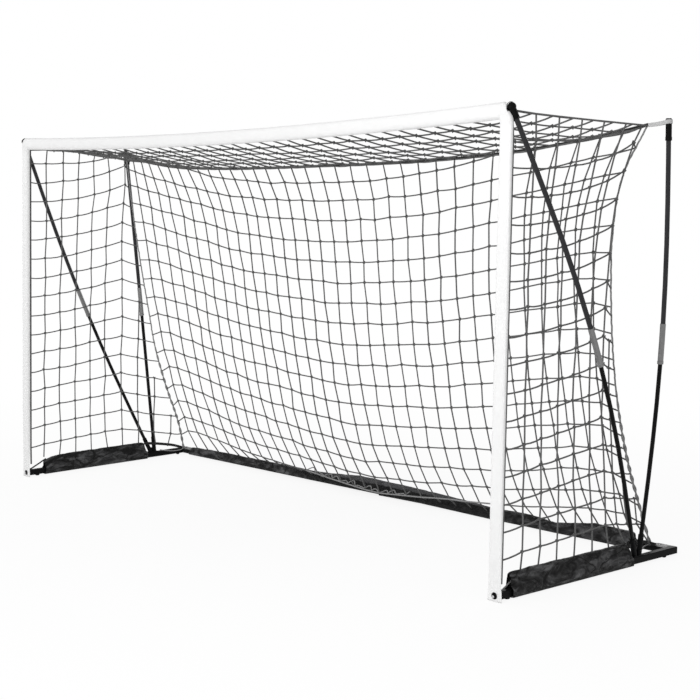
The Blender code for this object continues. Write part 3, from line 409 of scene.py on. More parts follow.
def webbing(name, colour, shade, rib):
    """Ribbed strap, ribs a rib's width apart, with painted shade between the ribs and dirt."""
    made = Finish(name, colour, 0.75, Specular_IOR_Level=0.3)
    chart = made.cloth_place()
    ribs = (made.part(chart, "X") * (2 * math.pi / rib)).sine() * 0.5 + 0.5
    cross = (made.part(chart, "Y") * (2 * math.pi / (rib * 1.6))).sine() * 0.5 + 0.5
    soil = made.cloud(chart, 40.0, 4.0, 0.6)
    # Colour goes toward shade between the ribs (painted shade) and where the soil cloud is low (dirt)
    made.feed(Base_Color=made.mixed((ribs * cross * 0.5 + soil * 0.5).kept(), shade, colour),
              Normal=made.raised(ribs + cross * 0.5, 0.5, 0.0006))
    return made.material


steel_black = powder_coat("powder coated steel", (0.0035, 0.0035, 0.0038), 0.42)
# The rear corners' plates: black powder coat with a painted light grey sheen on their tops
steel_top_sheen = powder_coat("powder coat with painted top sheen", (0.0035, 0.0035, 0.0038), 0.42, (0.30, 0.30, 0.30))
rod_black = glass_fibre("black pole", (0.002, 0.002, 0.002), 0.36)
rod_grey = glass_fibre("grey pole", (0.026, 0.026, 0.028), 0.34)
steel_bare = drawn_steel("drawn steel", (0.24, 0.24, 0.24), 0.42)
steel_zinc = drawn_steel("zinc plated steel", (0.56, 0.56, 0.57), 0.32)
plastic_black = moulded_plastic("moulded plastic", (0.002, 0.002, 0.002), 0.34, 900.0)
rubber_black = moulded_plastic("rubber", (0.006, 0.006, 0.006), 0.78, 1400.0)
cloth_white = woven_cloth("white coated cloth", (0.86, 0.86, 0.86), (0.80, 0.80, 0.80),
                          thread=0.0009, gloss=0.62, sheen=0.05, folds=26.0)
# The black nylon: its first colour is the painted highlight on the ridges, its second the painted shade in
# the creases
cloth_black = crumpled_nylon("black nylon cloth", (0.112, 0.112, 0.115), (0.0006, 0.0006, 0.0006), 0.9)
# The flap behind the roll: the same black nylon in a copy painted grey, a painted sheen on the flat flap
cloth_grey = crumpled_nylon("nylon cloth painted grey", (0.150, 0.150, 0.154), (0.085, 0.085, 0.088))
# The twine is white: its dark grey colour is painted shade, for how dark the white twine shows
twine_white = twisted_twine("white twine", (0.150, 0.150, 0.150), (0.026, 0.026, 0.026), 0.018, 0.80)
cord_pale = twisted_twine("pale cord", (0.34, 0.34, 0.34), (0.07, 0.07, 0.07), 0.014, 0.75)
cord_dark = twisted_twine("dark cord", (0.020, 0.020, 0.020), (0.004, 0.004, 0.004), 0.020, 0.70)
web_grey = webbing("grey webbing", (0.66, 0.66, 0.66), (0.42, 0.42, 0.42), 0.0022)
web_black = webbing("black webbing", (0.016, 0.016, 0.016), (0.006, 0.006, 0.006), 0.0022)

SLOT_FINISH = {"black_steel": steel_black, "pole_black": rod_black, "ferrule_steel": steel_bare,
               "zinc_steel": steel_zinc, "black_plastic": plastic_black, "black_rubber": rubber_black,
               "white_nylon": cloth_white, "black_nylon": cloth_black, "white_twine": twine_white,
               "grey_webbing": web_grey}


def finish_of(name, node):
    """The slot's finish, but the upper poles are greyer and the rear corners' plates get a painted sheen on
    their tops.
    """
    if "pole_upper" in name or name.startswith("crossbar_pole"):
        return rod_grey
    if name.startswith("rear_corner"):
        return steel_top_sheen
    return SLOT_FINISH[node.data.materials[0].name.split(".")[0]]


for name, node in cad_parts.items():
    node.data.materials[0] = finish_of(name, node)


# ------------------------------------------------------------------ making pieces
def piece(name, mesh, finish, body, replaced=()):
    """A shown piece: rides on its body, takes its slot, and stands for the solids that it replaces."""
    made = bpy.data.objects.new(name, mesh)
    bpy.context.scene.collection.objects.link(made)
    if not mesh.materials:
        mesh.materials.append(finish)
    if body:
        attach(made, body)
    if replaced:
        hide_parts(*replaced)
    return made


def cord_mesh(name, routes, sides=6):
    """Round cords along the routes, each a list of points and a radius, with a map in metres along them."""
    lines = bpy.data.curves.new(name, "CURVE")
    lines.dimensions = "3D"
    lines.bevel_depth = 1.0
    lines.bevel_resolution = (sides - 4) // 2
    lengths = []
    for points, radius in routes:
        spline = lines.splines.new("POLY")
        spline.points.add(len(points) - 1)
        spline.points.foreach_set("co", [c for p in points for c in (p.x, p.y, p.z, 1.0)])
        spline.points.foreach_set("radius", [radius] * len(points))
        steps = [(b - a).length for a, b in zip(points, points[1:])]
        lengths.append(np.concatenate([[0.0], np.cumsum(steps)]))
    carrier = bpy.data.objects.new(name, lines)
    mesh = bpy.data.meshes.new_from_object(carrier)
    bpy.data.objects.remove(carrier)
    chart = np.zeros(len(mesh.loops) * 2, np.float32)
    mesh.uv_layers[0].data.foreach_get("uv", chart)
    chart = chart.reshape(-1, 2)
    # Each step of a cord has as many four-cornered faces as the cord has sides
    start = 0
    for along in lengths:
        end = start + (len(along) - 1) * sides * 4
        ring = np.rint(chart[start:end, 0] * (len(along) - 1)).astype(int)
        chart[start:end, 0] = along[ring]
        start = end
    mesh.uv_layers[0].data.foreach_set("uv", chart.ravel())
    bm = bmesh.new()
    bm.from_mesh(mesh)
    bmesh.ops.holes_fill(bm, edges=[e for e in bm.edges if e.is_boundary], sides=sides)
    bmesh.ops.recalc_face_normals(bm, faces=bm.faces)
    bm.to_mesh(mesh)
    bm.free()
    mesh.shade_smooth()
    return mesh


def cloth_mesh(name, surface, across, along, size, closed=False):
    """Sheet on surface(u, v) with a map in metres; closed joins u = 0 to u = 1."""
    bm = bmesh.new()
    chart = bm.loops.layers.uv.new("UVMap")
    bmesh.ops.create_grid(bm, x_segments=across, y_segments=along, size=0.5, calc_uvs=True)
    for face in bm.faces:
        for loop in face.loops:
            u, v = loop[chart].uv
            loop[chart].uv = (u * size[0], v * size[1])
    for vertex in bm.verts:
        vertex.co = surface(vertex.co.x + 0.5, vertex.co.y + 0.5)
    if closed:
        bmesh.ops.remove_doubles(bm, verts=bm.verts, dist=2e-5)
    bmesh.ops.recalc_face_normals(bm, faces=bm.faces)
    mesh = bpy.data.meshes.new(name)
    bm.to_mesh(mesh)
    bm.free()
    mesh.shade_smooth()
    return mesh


def thicken(made, thickness):
    """Gives a sheet its thickness, half to each side."""
    step = made.modifiers.new("cloth thickness", "SOLIDIFY")
    step.thickness = thickness
    step.offset = 0.0
    step.use_even_offset = False


# ------------------------------------------------------------------ camera
CAMERA_PLACE = (5.572, -4.84675, 1.582)
CAMERA_LENS = 72.15
CAMERA_DIP = 5.58             # degrees below level
CAMERA_TURN = 47.15           # degrees from straight ahead

camera_data = bpy.data.cameras.new("camera")
camera_data.lens = CAMERA_LENS
camera_data.sensor_width = 36.0
camera = bpy.data.objects.new("camera", camera_data)
bpy.context.scene.collection.objects.link(camera)
camera.location = CAMERA_PLACE
camera.rotation_euler = (math.radians(90 - CAMERA_DIP), 0.0, math.radians(CAMERA_TURN))
bpy.context.scene.camera = camera

# ------------------------------------------------------------------ lines that the net follows
corner_curve = smooth_curve(NET_CORNER)
crease_curve = smooth_curve(NET_CREASE)
middle_curve = smooth_curve(NET_MIDDLE)


def height_curve(curve):
    """The same curve, asked for by its height."""
    table = [curve(i / 400) for i in range(401)]
    heights = [-p.z for p in table]

    def by_height(z):
        return Vector((float(np.interp(-z, heights, [p.x for p in table])),
                       float(np.interp(-z, heights, [p.y for p in table])), z))
    return by_height


seam_at = height_curve(corner_curve)
crease_at = height_curve(crease_curve)


def upright_depth(z):
    """The upright leans back from its tab on the stud to the crossbar."""
    return TAB_DEPTH + (CROSSBAR_DEPTH - TAB_DEPTH) * max(0.0, (z - TAB_TOP) / (UPRIGHT_TOP - TAB_TOP))


def crossbar_point(x):
    """Middle of the crossbar's section, with its sag."""
    return Vector((x, CROSSBAR_DEPTH, CROSSBAR_Z - CROSSBAR_SAG * (1.0 - (x / POST_X) ** 2)))


def back_point(i, j):
    """Knot of column i and row j of the back, with rows that climb toward the corners."""
    s = 2 * (i + read_off(COLUMN_DRIFT, i)) / BACK_COLUMNS - 1
    share = (j - 1) / (BACK_ROWS - 1)
    drift = ((1 - share) * float(np.interp(abs(s), ROW_STATIONS, HIGH_ROW_DRIFT)) +
             share * float(np.interp(abs(s), ROW_STATIONS, LOW_ROW_DRIFT)))
    drift *= {0: 0.0, 1: FIRST_ROW_CLIMB}.get(j, 1.0)
    v = max(0.0, (j + drift) / BACK_ROWS)
    corner, middle = corner_curve(v), middle_curve(v)
    weight = abs(s) ** (3.4 - 0.6 * v)
    below = max(0.0, v - 1.0) * BACK_ROWS * FOOT_MESH
    return Vector((s * corner.x, middle.y + (corner.y - middle.y) * weight,
                   middle.z + (corner.z - middle.z) * weight - below))


# ------------------------------------------------------------------ twine
KNOT_TURNS = [(-1.0, -0.9, 0.3), (-0.3, 0.2, 1.15), (0.9, 0.9, 0.2), (0.4, -0.3, -1.15), (-0.9, 0.6, -0.2),
              (-0.2, 0.3, 1.2), (1.0, -0.9, 0.2)]


def shaken(amount):
    """A small step aside, since no knot sits quite true."""
    return Vector((chance.uniform(-1, 1), chance.uniform(-1, 1), chance.uniform(-1, 1))) * amount


def strand(a, b, slack):
    """Points from knot a up to knot b, with a little sag."""
    sag = Vector((0.0, 0.0, -slack))
    return [a.lerp(b, t) + sag * 4 * t * (1 - t) for t in (0.0, 0.33, 0.67)]


def chain(knots, slack=0.0015):
    """Twine from knot to knot, each length with a slack of its own."""
    points = []
    for a, b in zip(knots, knots[1:]):
        points += strand(a, b, slack * chance.uniform(0.2, 1.6))
    return points + [knots[-1]]


def knot(centre, first, second):
    """A short hitch of twine round a crossing; first and second are the crossing's two directions."""
    first, second = first.normalized(), second.normalized()
    out = first.cross(second).normalized()
    size = TWINE * 1.55
    return ([centre + (first * a + second * b + out * c) * size for a, b, c in KNOT_TURNS], TWINE * 0.85)


def twine_piece(name, routes, finish, sides=6, replaced=()):
    """Cords fixed to the net or the frame."""
    return piece(name, cord_mesh(name, routes, sides), finish, "frame", replaced)


def tie_piece(name, route, radius, finish):
    """A free cord; its start, length and route are worked out but not kept."""
    made = twine_piece(name, [(route, radius)], finish, 8)
    tuple(route[0])
    sum((b - a).length for a, b in zip(route, route[1:]))
    [tuple(p) for p in route]


# ------------------------------------------------------------------ net: back
HEAD_LIFT = Vector((0.0, 0.004, 0.006))    # of the head cord, off the back's first row
LASHING_POINTS = 14           # round the head cord at each knot
LASHING_TURN = 6              # of them to a turn
LASHING_PITCH = 0.0015        # from one of them to the next, along the cord


def back_knots():
    """Every knot of the back; the inner ones sit a little off the true grid."""
    knots = {(i, j): at(*back_point(i, j)) for i in range(BACK_COLUMNS + 1) for j in range(BACK_ROWS + 1)}
    for (i, j), point in knots.items():
        if 0 < i < BACK_COLUMNS and 0 < j < BACK_ROWS:
            knots[i, j] = point + shaken(BACK_SHAKE)
    return knots


def back_panel(back):
    """Rows, columns that end where they are tied to the rear sleeve, and the knots."""
    routes = []
    for j in range(1, BACK_ROWS + 1):
        routes.append((chain([back[i, j] for i in range(BACK_COLUMNS + 1)]), TWINE))
    for i in range(1, BACK_COLUMNS):
        last = back[i, BACK_ROWS]
        tied = at(last.x, FOOT_DEPTH, min(read_off(FOOT_LINE, last.x), last.z - 0.004))
        routes.append((chain([back[i, j] for j in range(BACK_ROWS + 1)] + [tied], 0.0), TWINE))
    for i in range(1, BACK_COLUMNS):
        for j in range(1, BACK_ROWS):
            routes.append(knot(back[i, j], back[i + 1, j] - back[i, j], back[i, j + 1] - back[i, j]))
    twine_piece("net_back_twine", routes, twine_white, replaced=("net_back",))


def head_cord(back):
    """Dark cord along the top of the back, and the twine that lashes it on."""
    head = [back[i, 0] for i in range(BACK_COLUMNS + 1)]
    route = [p + HEAD_LIFT for p in resampled(head, CORD_STEP)]
    twine_piece("net_head_cord", [(route, HEAD_CORD)], cord_dark, 8)
    routes = [(chain(head, 0.002), TWINE)]
    wide = HEAD_CORD + TWINE * 0.7
    for i in range(1, BACK_COLUMNS):
        grip = []
        for k in range(LASHING_POINTS):
            a = 2 * math.pi * k / LASHING_TURN
            along = LASHING_PITCH * (k - (LASHING_POINTS - 1) / 2)
            grip.append(head[i] + HEAD_LIFT + Vector((along, math.cos(a) * wide, math.sin(a) * wide)))
        routes.append(([head[i]] + grip + [head[i]], TWINE * 0.75))
    twine_piece("net_head_lacing", routes, twine_white)


# ------------------------------------------------------------------ net: sides
# Where each side panel's front edge hangs: how far out and back of the upright its rows start, how far its
# last knot is tucked in, that knot's depth, the height of the top edge's front end
PANEL_FRONT = {-1: {"out": -0.004, "back": 0.028, "tuck": 0.0, "hem_depth": 0.026, "top": 1.952},
               1: {"out": 0.020, "back": 0.018, "tuck": 0.002, "hem_depth": 0.016, "top": 1.990}}
FRONT_TOP, FRONT_MESH = 1.875, 0.1134
CREASE_TOP, CREASE_MESH = 1.881, 0.1188
FIRST_CREASE_Z = 1.949
FIRST_CREASE = (1.972, 0.796, 1.951)
HEM_DEPTHS = (0.134, 0.245, 0.362, 0.477, 0.599, 0.714, 0.836, 0.955, 1.050)
HEM_Z = 0.106
SEAM_DROP = 0.020             # of a row from the crease to the seam
SEAM_STEEPER = 0.0035         # and how much more from each row to the next below it
LACING_END = (1.843, 1.150, 0.046)
LACING_STEP = 0.012
LACING_TURN = 9               # steps to a turn
BUNDLE_TOP = 0.80             # below this height the seam's lacing runs as a bundle
BUNDLE_TAPER = 0.25           # height in which it gets its full thickness


def side_row(k, side):
    """One row, from the upright over the crease to the seam with the back."""
    z_front = FRONT_TOP - FRONT_MESH * (k - 1)
    z_crease = CREASE_TOP - CREASE_MESH * (k - 2) if k > 1 else FIRST_CREASE_Z
    z_seam = z_crease - SEAM_DROP - SEAM_STEEPER * (k - 2)
    hang = PANEL_FRONT[side]
    front = Vector((POST_X + hang["out"], upright_depth(z_front) + hang["back"], z_front))
    crease = crease_at(z_crease) if k > 1 else Vector(FIRST_CREASE)
    # High rows hang slack before they rise to the crease, low ones rise at once
    rise = 2.2 - 0.115 * (k - 2) + (1.1 * math.exp(-(k - 1) / 3.0) if side > 0 else 0.0)
    row = []
    for c in range(SIDE_COLUMNS + 1):
        t = c / SIDE_COLUMNS
        point = front.lerp(crease, t)
        point.z = z_front + (z_crease - z_front) * t ** rise
        if 0 < c < SIDE_COLUMNS:
            point.y += side * 0.014 * min(1.0, k / 10)
        row.append(point)
    if k > 1:
        seam = seam_at(z_seam)
        reach = (seam - crease).length
        for n in range(1, SHORT_COLUMNS + 1):
            if n * MESH < reach - SEAM_ROOM:
                row.append(crease.lerp(seam, n * MESH / reach))
        row.append(seam)
    return row


def top_edge(side):
    """Top edge of a side panel, which bows up: sooner on the right, a little on the left."""
    front = Vector((POST_X + 0.002, CROSSBAR_DEPTH + 0.030, PANEL_FRONT[side]["top"]))
    rear = Vector(NET_CORNER[0])
    edge = []
    for c in range(SIDE_COLUMNS + 1):
        t = c / SIDE_COLUMNS
        point = front.lerp(rear, t)
        if side > 0:
            point.z = front.z + (rear.z - front.z) * t ** RIGHT_EDGE_BOW
        else:
            point.z += LEFT_EDGE_BOW * t * (1 - t)
        edge.append(point)
    return edge


def hem(side):
    """Knots along the top of the side sleeve, which run in toward the rear corner's plate."""
    hang = PANEL_FRONT[side]
    knots = [Vector((POST_X + hang["out"] - hang["tuck"], hang["hem_depth"], 0.075))]
    for depth in HEM_DEPTHS:
        depth += side * 0.016
        inward = max(0.0, min(1.0, (depth - 0.82) / 0.12))
        drop = 0.042 * max(0.0, (depth - 0.86) / 0.2)
        knots.append(Vector((bar_x(depth) - 0.026 * inward, depth, HEM_Z - drop)))
    knots.append(Vector(NET_CORNER[-1]))
    return knots


def side_panel(side, label):
    """Rows, columns down to the hem, short columns behind the crease, knots, and the top edge's cord."""
    rows = {k: side_row(k, side) for k in range(1, SIDE_ROWS + 1)}
    rows[0] = top_edge(side)
    rows[SIDE_ROWS + 1] = hem(side)
    placed = {}
    for k, row in rows.items():
        for c, point in enumerate(row):
            free = 0 < c < len(row) - 1 and 0 < k <= SIDE_ROWS
            placed[k, c] = at(side * point.x, point.y, point.z) + (shaken(SHAKE) if free else Vector())
    routes = []
    for k in range(1, SIDE_ROWS + 1):
        routes.append((chain([placed[k, c] for c in range(len(rows[k]))], 0.003), TWINE))
    for c in range(SIDE_COLUMNS + 1):
        column = chain([placed[k, c] for k in range(SIDE_ROWS + 2)], 0.0)
        routes.append((column, TWINE * (1.3 if c == 0 else 1.0)))
    for c in range(SIDE_COLUMNS + 1, SIDE_COLUMNS + 1 + SHORT_COLUMNS):
        line = [placed[k, c] for k in range(1, SIDE_ROWS + 2) if len(rows[k]) > c + 1]
        if len(line) > 1:
            routes.append((chain(line, 0.0), TWINE))
    for k in range(1, SIDE_ROWS + 1):
        for c in range(1, len(rows[k]) - 1):
            routes.append(knot(placed[k, c], placed[k, c + 1] - placed[k, c], Vector((0, 0, -1))))
    twine_piece(f"net_{label}_twine", routes, twine_white, replaced=(f"net_{label}",))
    edge = resampled([placed[0, c] for c in range(SIDE_COLUMNS + 1)], CORD_STEP)
    twine_piece(f"net_edge_cord_{label}", [(edge, EDGE_CORD)], twine_white, 8)


def seam_lacing(side, label):
    """Lacing down the seam of side and back: one line, and low down two more wound round it."""
    seam = [at(side * p.x, p.y, p.z) for p in (corner_curve(t) for t in spread(0, 1, 60))]
    x, depth, z = LACING_END
    seam.append(at(side * x, depth, z))
    seam = resampled(seam, LACING_STEP)
    routes = [([point + shaken(0.0012) for point in seam], TWINE * 1.15)]
    for turn in (0.0, math.pi):
        bundle = []
        for m, point in enumerate(seam):
            if point.z < BUNDLE_TOP:
                a = 2 * math.pi * m / LACING_TURN + turn
                wide = TWINE * (0.6 + 1.3 * min(1.0, (BUNDLE_TOP - point.z) / BUNDLE_TAPER))
                bundle.append(point + Vector((math.cos(a), 0.8 * math.sin(a), 0.0)) * wide)
        routes.append((bundle, TWINE * 0.7))
    twine_piece(f"net_seam_lacing_{label}", routes, cord_pale)


# ------------------------------------------------------------------ net: top and foot
# Where the top net leaves the crossbar, from the middle of its section, and what its corners add to that
TOP_BEHIND, TOP_BELOW = 0.017, 0.024
CORNER_BEHIND = 0.010
CORNER_RISE = {-1: -0.011, 1: 0.027}
CORNER_SHARE = 0.10           # of the half width that follows the side panel's edge
TOP_SAG, SAG_TO_RIGHT = 0.010, 0.006
LAST_ROOM = 0.04              # the nearest that a column's last knot comes to the head cord
FOOT_COLUMNS = range(12, 27)  # the back's columns that end on the foot's cord
LOOPED = 9                    # how many of them are laced to the sleeve
LOOP_STEP = 0.008


def top_column(i, end):
    """Knots from the crossbar back to the head cord; the outer columns follow the side panels' edges."""
    s = 2 * i / BACK_COLUMNS - 1
    bar = crossbar_point(s * (POST_X - 0.006))
    outer = max(0.0, (abs(s) - (1 - CORNER_SHARE)) / CORNER_SHARE)
    start = at(bar.x, bar.y + TOP_BEHIND + CORNER_BEHIND * outer,
               bar.z - TOP_BELOW + CORNER_RISE[1 if s > 0 else -1] * outer)
    reach = (end - start).length
    spots = [start]
    m = 1
    while m * MESH < reach - LAST_ROOM:
        t = m * MESH / reach
        hang = (TOP_SAG + SAG_TO_RIGHT * s) * 4 * t * (1 - t) * (1.0 - outer)
        spot = start.lerp(end, t) - Vector((0, 0, hang))
        bow = (end.z - start.z) * (t ** RIGHT_EDGE_BOW - t) if s > 0 else LEFT_EDGE_BOW * t * (1 - t)
        spot.z += bow * outer
        spots.append(spot + (shaken(SHAKE) if 0 < i < BACK_COLUMNS else Vector()))
        m += 1
    return spots + [end]


def top_panel(back):
    """Columns, rows that end on the head cord where the top grows shallow, knots and the front edge."""
    routes = []
    columns = []
    for i in range(BACK_COLUMNS + 1):
        columns.append(top_column(i, back[i, 0]))
        routes.append((chain(columns[-1], 0.001), TWINE))
    for m in range(1, max(len(spots) for spots in columns) - 1):
        run = []
        reached = [m < len(spots) - 1 for spots in columns]
        for i, spots in enumerate(columns):
            if reached[i]:
                run.append(spots[m])
            elif run:
                routes.append((chain(run + [back[i, 0]], 0.002), TWINE))
                run = []
        if len(run) > 1:
            if not all(reached):
                run = [back[BACK_COLUMNS - len(run), 0]] + run
            routes.append((chain(run, 0.002), TWINE))
    for spots in columns[1:-1]:
        for m in range(1, len(spots) - 1):
            routes.append(knot(spots[m], Vector((1, 0, 0)), spots[m + 1] - spots[m]))
    routes.append((resampled([spots[0] for spots in columns], CORD_STEP), EDGE_CORD))
    twine_piece("net_top_twine", routes, twine_white, replaced=("net_top",))


def foot_cord(back):
    """Cord along the middle of the net's foot, with the loops that lace it to the sleeve."""
    foot = [back[i, BACK_ROWS] for i in FOOT_COLUMNS]
    routes = [(resampled([p + Vector((0.0, -0.003, 0.0)) for p in foot], CORD_STEP), EDGE_CORD)]
    loops = []
    for m, point in enumerate(resampled(foot[:LOOPED], LOOP_STEP)):
        swing = abs(math.sin(math.pi * m / 8.5)) * (0.6 + 0.4 * math.sin(0.31 * m))
        loops.append(point + Vector((0.0, 0.004 + 0.020 * swing, 0.002 + 0.020 * swing)))
    routes.append((loops, TWINE * 0.9))
    twine_piece("net_foot_cord", routes, cord_pale)


back = back_knots()
back_panel(back)
head_cord(back)
for side, label in SIDES:
    side_panel(side, label)
    seam_lacing(side, label)
top_panel(back)
foot_cord(back)

# ------------------------------------------------------------------ white cloth
CROSSBAR_GIRTH, UPRIGHT_GIRTH = 0.166, 0.150
CROSSBAR_HALF_HEIGHT, CROSSBAR_HALF_DEPTH = 0.0335, 0.0200
# The upright's cloth where it goes over the crossbar
HOOD_HALF_HEIGHT, HOOD_HALF_DEPTH = 0.0345, 0.0216
BAND_FOOT = 0.003
EYE_Z, EYE_RADIUS = 0.0267, 0.0105
# The upright's edges and its half depth, each at a height
OUTER_EDGE = [(0.003, 0.038), (0.050, 0.036), (0.062, 0.033), (0.150, 0.0325), (0.400, 0.031),
              (1.928, 0.0305), (1.945, 0.029), (1.960, 0.0265), (1.975, 0.021), (1.987, 0.014),
              (2.000, 0.007), (2.012, -0.002), (2.0205, -0.010)]
INNER_EDGE = [(0.003, 0.038), (0.050, 0.036), (0.062, 0.033), (0.150, 0.0325), (0.400, 0.031),
              (1.950, 0.0300), (1.965, 0.029), (1.985, 0.026), (2.005, 0.022), (2.0205, 0.018)]
HALF_DEPTHS = [(0.003, 0.0018), (0.062, 0.0020), (0.150, 0.0060), (0.400, 0.0115), (1.9300, 0.0120),
               (1.9560, 0.0165)]


def rounded(a, power):
    """Point of a flattened round section."""
    c, s = math.cos(a), math.sin(a)
    return math.copysign(abs(c) ** power, c), math.copysign(abs(s) ** power, s)


def wrinkle(u, v, size, seed):
    """Soft waves of the cloth, about size metres long."""
    return noise.fractal(Vector((u / size, v / size, seed)), 0.9, 2.1, 4)


def crossbar_surface(u, v):
    """u runs round the crossbar's sleeve, v along it from the left corner; its ends close and gather."""
    x = (2 * v - 1) * CROSSBAR_END
    a = 2 * math.pi * u
    across, up = rounded(a, 0.85)
    edge = CROSSBAR_END - abs(x)
    gather = math.exp(-edge / 0.06)
    closing = 1.0 - (1.0 - min(1.0, edge / 0.026)) ** 2
    half_height = CROSSBAR_HALF_HEIGHT * (0.55 + 0.45 * closing) * (1 - 0.05 * math.exp(-edge / 0.05))
    half_depth = CROSSBAR_HALF_DEPTH * (0.85 + 0.15 * closing)
    fold = 0.0022 * gather * math.sin(9 * a + 3 * noise.noise(Vector((x * 30, 0, 2.0))))
    ripple = 0.0008 * wrinkle(u * 0.3, x, 0.10, 3.0) + 0.0022 * gather * wrinkle(u * 0.2, x, 0.03, 5.0)
    centre = crossbar_point(x)
    deeper = 1.0 + (fold + ripple) / 0.02
    taller = 1 + (fold + ripple) / 0.032
    return at(x, centre.y + across * half_depth * deeper, centre.z + up * half_height * taller)


def crossbar_cloth():
    length = 2 * CROSSBAR_END
    mesh = cloth_mesh("crossbar_cloth", crossbar_surface, 32, 300, (CROSSBAR_GIRTH, length), closed=True)
    made = piece("crossbar_cloth", mesh, cloth_white, "frame", ("crossbar_sleeve",))
    thicken(made, COATED_CLOTH)


def cut_eye(mesh, side):
    """Closes the band's ends and opens it where the eyelet sits."""
    bm = bmesh.new()
    bm.from_mesh(mesh)
    bmesh.ops.holes_fill(bm, edges=[e for e in bm.edges if e.is_boundary], sides=40)
    bmesh.ops.recalc_face_normals(bm, faces=bm.faces)
    eye = Vector((side * POST_X, EYE_Z))
    near = [f for f in bm.faces if (f.calc_center_median().xz - eye).length < EYE_RADIUS]
    bmesh.ops.delete(bm, geom=near, context="FACES")
    bm.to_mesh(mesh)
    bm.free()


def upright_cloth(side, label):
    """A flat band at its foot, rounder above, and at its top a hood over the crossbar's end."""
    def surface(u, v):
        z = BAND_FOOT + (HOOD_TOP - BAND_FOOT) * v
        across, through = rounded(2 * math.pi * u, 0.62)
        outer, inner = read_off(OUTER_EDGE, z), read_off(INNER_EDGE, z)
        centre, width = (outer - inner) / 2, (outer + inner) / 2
        over = min(1.0, abs(z - CROSSBAR_Z) / HOOD_HALF_HEIGHT)
        depth = HOOD_HALF_DEPTH * (1.0 - over ** 2) ** 0.43
        if z < CROSSBAR_Z:
            depth = max(depth, read_off(HALF_DEPTHS, z))
        gather = math.exp(-abs(z - 1.990) / 0.030)
        waver = 3.0 * noise.noise(Vector((z * 40, u * 2, 4.0)))
        fold = math.sin(9.0 * (z - side * across * 0.8 * width) / 0.020 + waver)
        ripple = 0.0007 * wrinkle(u * 0.2, z, 0.12, 9.0 + side) + 0.0016 * gather * fold
        half_depth = depth + ripple * min(1.0, depth / 0.01)
        return at(side * (POST_X + centre) + across * width,
                  upright_depth(min(z, UPRIGHT_TOP)) + through * half_depth, z)

    name = f"upright_cloth_{label}"
    mesh = cloth_mesh(name, surface, 36, 300, (UPRIGHT_GIRTH, HOOD_TOP), closed=True)
    cut_eye(mesh, side)
    made = piece(name, mesh, cloth_white, "frame", (f"upright_sleeve_{label}",))
    thicken(made, COATED_CLOTH)


crossbar_cloth()
for side, label in SIDES:
    upright_cloth(side, label)

# ------------------------------------------------------------------ black cloth along the ground
SIDE_SLEEVE_START = {-1: 0.118, 1: 0.080}
SIDE_SLEEVE_END = 0.877
SIDE_SLEEVE_HEIGHT = 0.112
SIDE_SLEEVE_LEAN = 0.25       # of the rear end, toward the front
REAR_SLEEVE_ENDS = (-1.785, 1.715)
ROLL_HEIGHT = 0.056
SLEEVE_GAP = 0.0026           # between the floor and the side sleeves' lower edge
FOOT_REACH = 0.088            # the right sleeve's front end lies on the rubber foot up to here
FOOT_LIFT = 0.0066
FLAP_ENDS = (-0.72, 1.02)
FLAP_WIDTH = 0.055
FLAP_FOOT = 0.030


def ridge(u, v, seed):
    """Sharp folds, as crumpled nylon has: high along thin lines."""
    return 1.0 - 2.0 * abs(noise.noise(Vector((u, v, seed))))


def crumple(s, h, seed):
    """Folds that run up the sleeve at a slant, in metres."""
    drift = 0.025 * noise.noise(Vector((s / 0.11, h / 0.09, seed + 1.0)))
    long = ridge((s + 0.55 * h + drift) / 0.075, (h + drift) / 0.10, seed)
    short = ridge((s - 0.8 * h + 2 * drift) / 0.034, h / 0.045, seed + 2.0)
    fine = noise.noise(Vector((s / 0.014, h / 0.017, seed + 3.0)))
    return 0.0058 * long + 0.0034 * short + 0.0007 * fine


def ground_sleeve(name, ends, centre, half, height, lean, replaced, steps, seed, over_foot=0.0,
                  floor_line=lambda s: SLEEVE_GAP):
    """Black cloth round a ground bar, folded up to the net's foot; u goes round it, v along.

    centre turns a station, a place across and a height into a point; height and floor_line give the
    sleeve's upper and lower edge at a station; over_foot is where it stops lying on the rubber foot."""
    start, end = ends

    def surface(u, v):
        s = start + (end - start) * v
        a = 2 * math.pi * u - math.pi / 2
        lift = (1 + math.sin(a)) / 2
        edge = min(s - start, end - s)
        top = height(s) * (1.0 - 0.07 * math.exp(-edge / 0.012)) + 0.0035 * wrinkle(s, 0, 0.09, seed)
        base = floor_line(s) + (FOOT_LIFT if s < over_foot else 0.0)
        z = base + (top - base) * lift
        # Over the bar the cloth lies double, and its ends are pinched shut
        width = half * (1.0 - 0.86 * lift ** 1.4)
        above_bar = min(1.0, max(0.0, (z - BAR_TOP) / 0.010))
        width *= 1.0 - above_bar * (1.0 - min(1.0, edge / 0.014 + 0.05) ** 0.5)
        c = math.cos(a)
        outward = c / max(abs(c), 0.36)
        facing = math.copysign(1.0, c)
        mid = min(1.0, 3.2 * lift * (1.12 - lift)) * abs(outward)
        place = width * outward + (crumple(s, z, seed + 7.0 * facing) + 0.001) * facing * mid
        depth_shift = lean * max(0.0, (s - (end - 0.10)) / 0.10) * max(0.0, z - BAR_TOP)
        ripple = 0.006 * noise.noise(Vector((z / 0.03, facing, seed))) * math.exp(-edge / 0.02)
        return centre(s - depth_shift + ripple, place, z)

    length = abs(end - start)
    girth = 2 * height((start + end) / 2) + 0.06
    mesh = cloth_mesh(name, surface, 44, steps, (girth, length), closed=True)
    made = piece(name, mesh, cloth_black, "frame", replaced)
    thicken(made, THIN_NYLON)


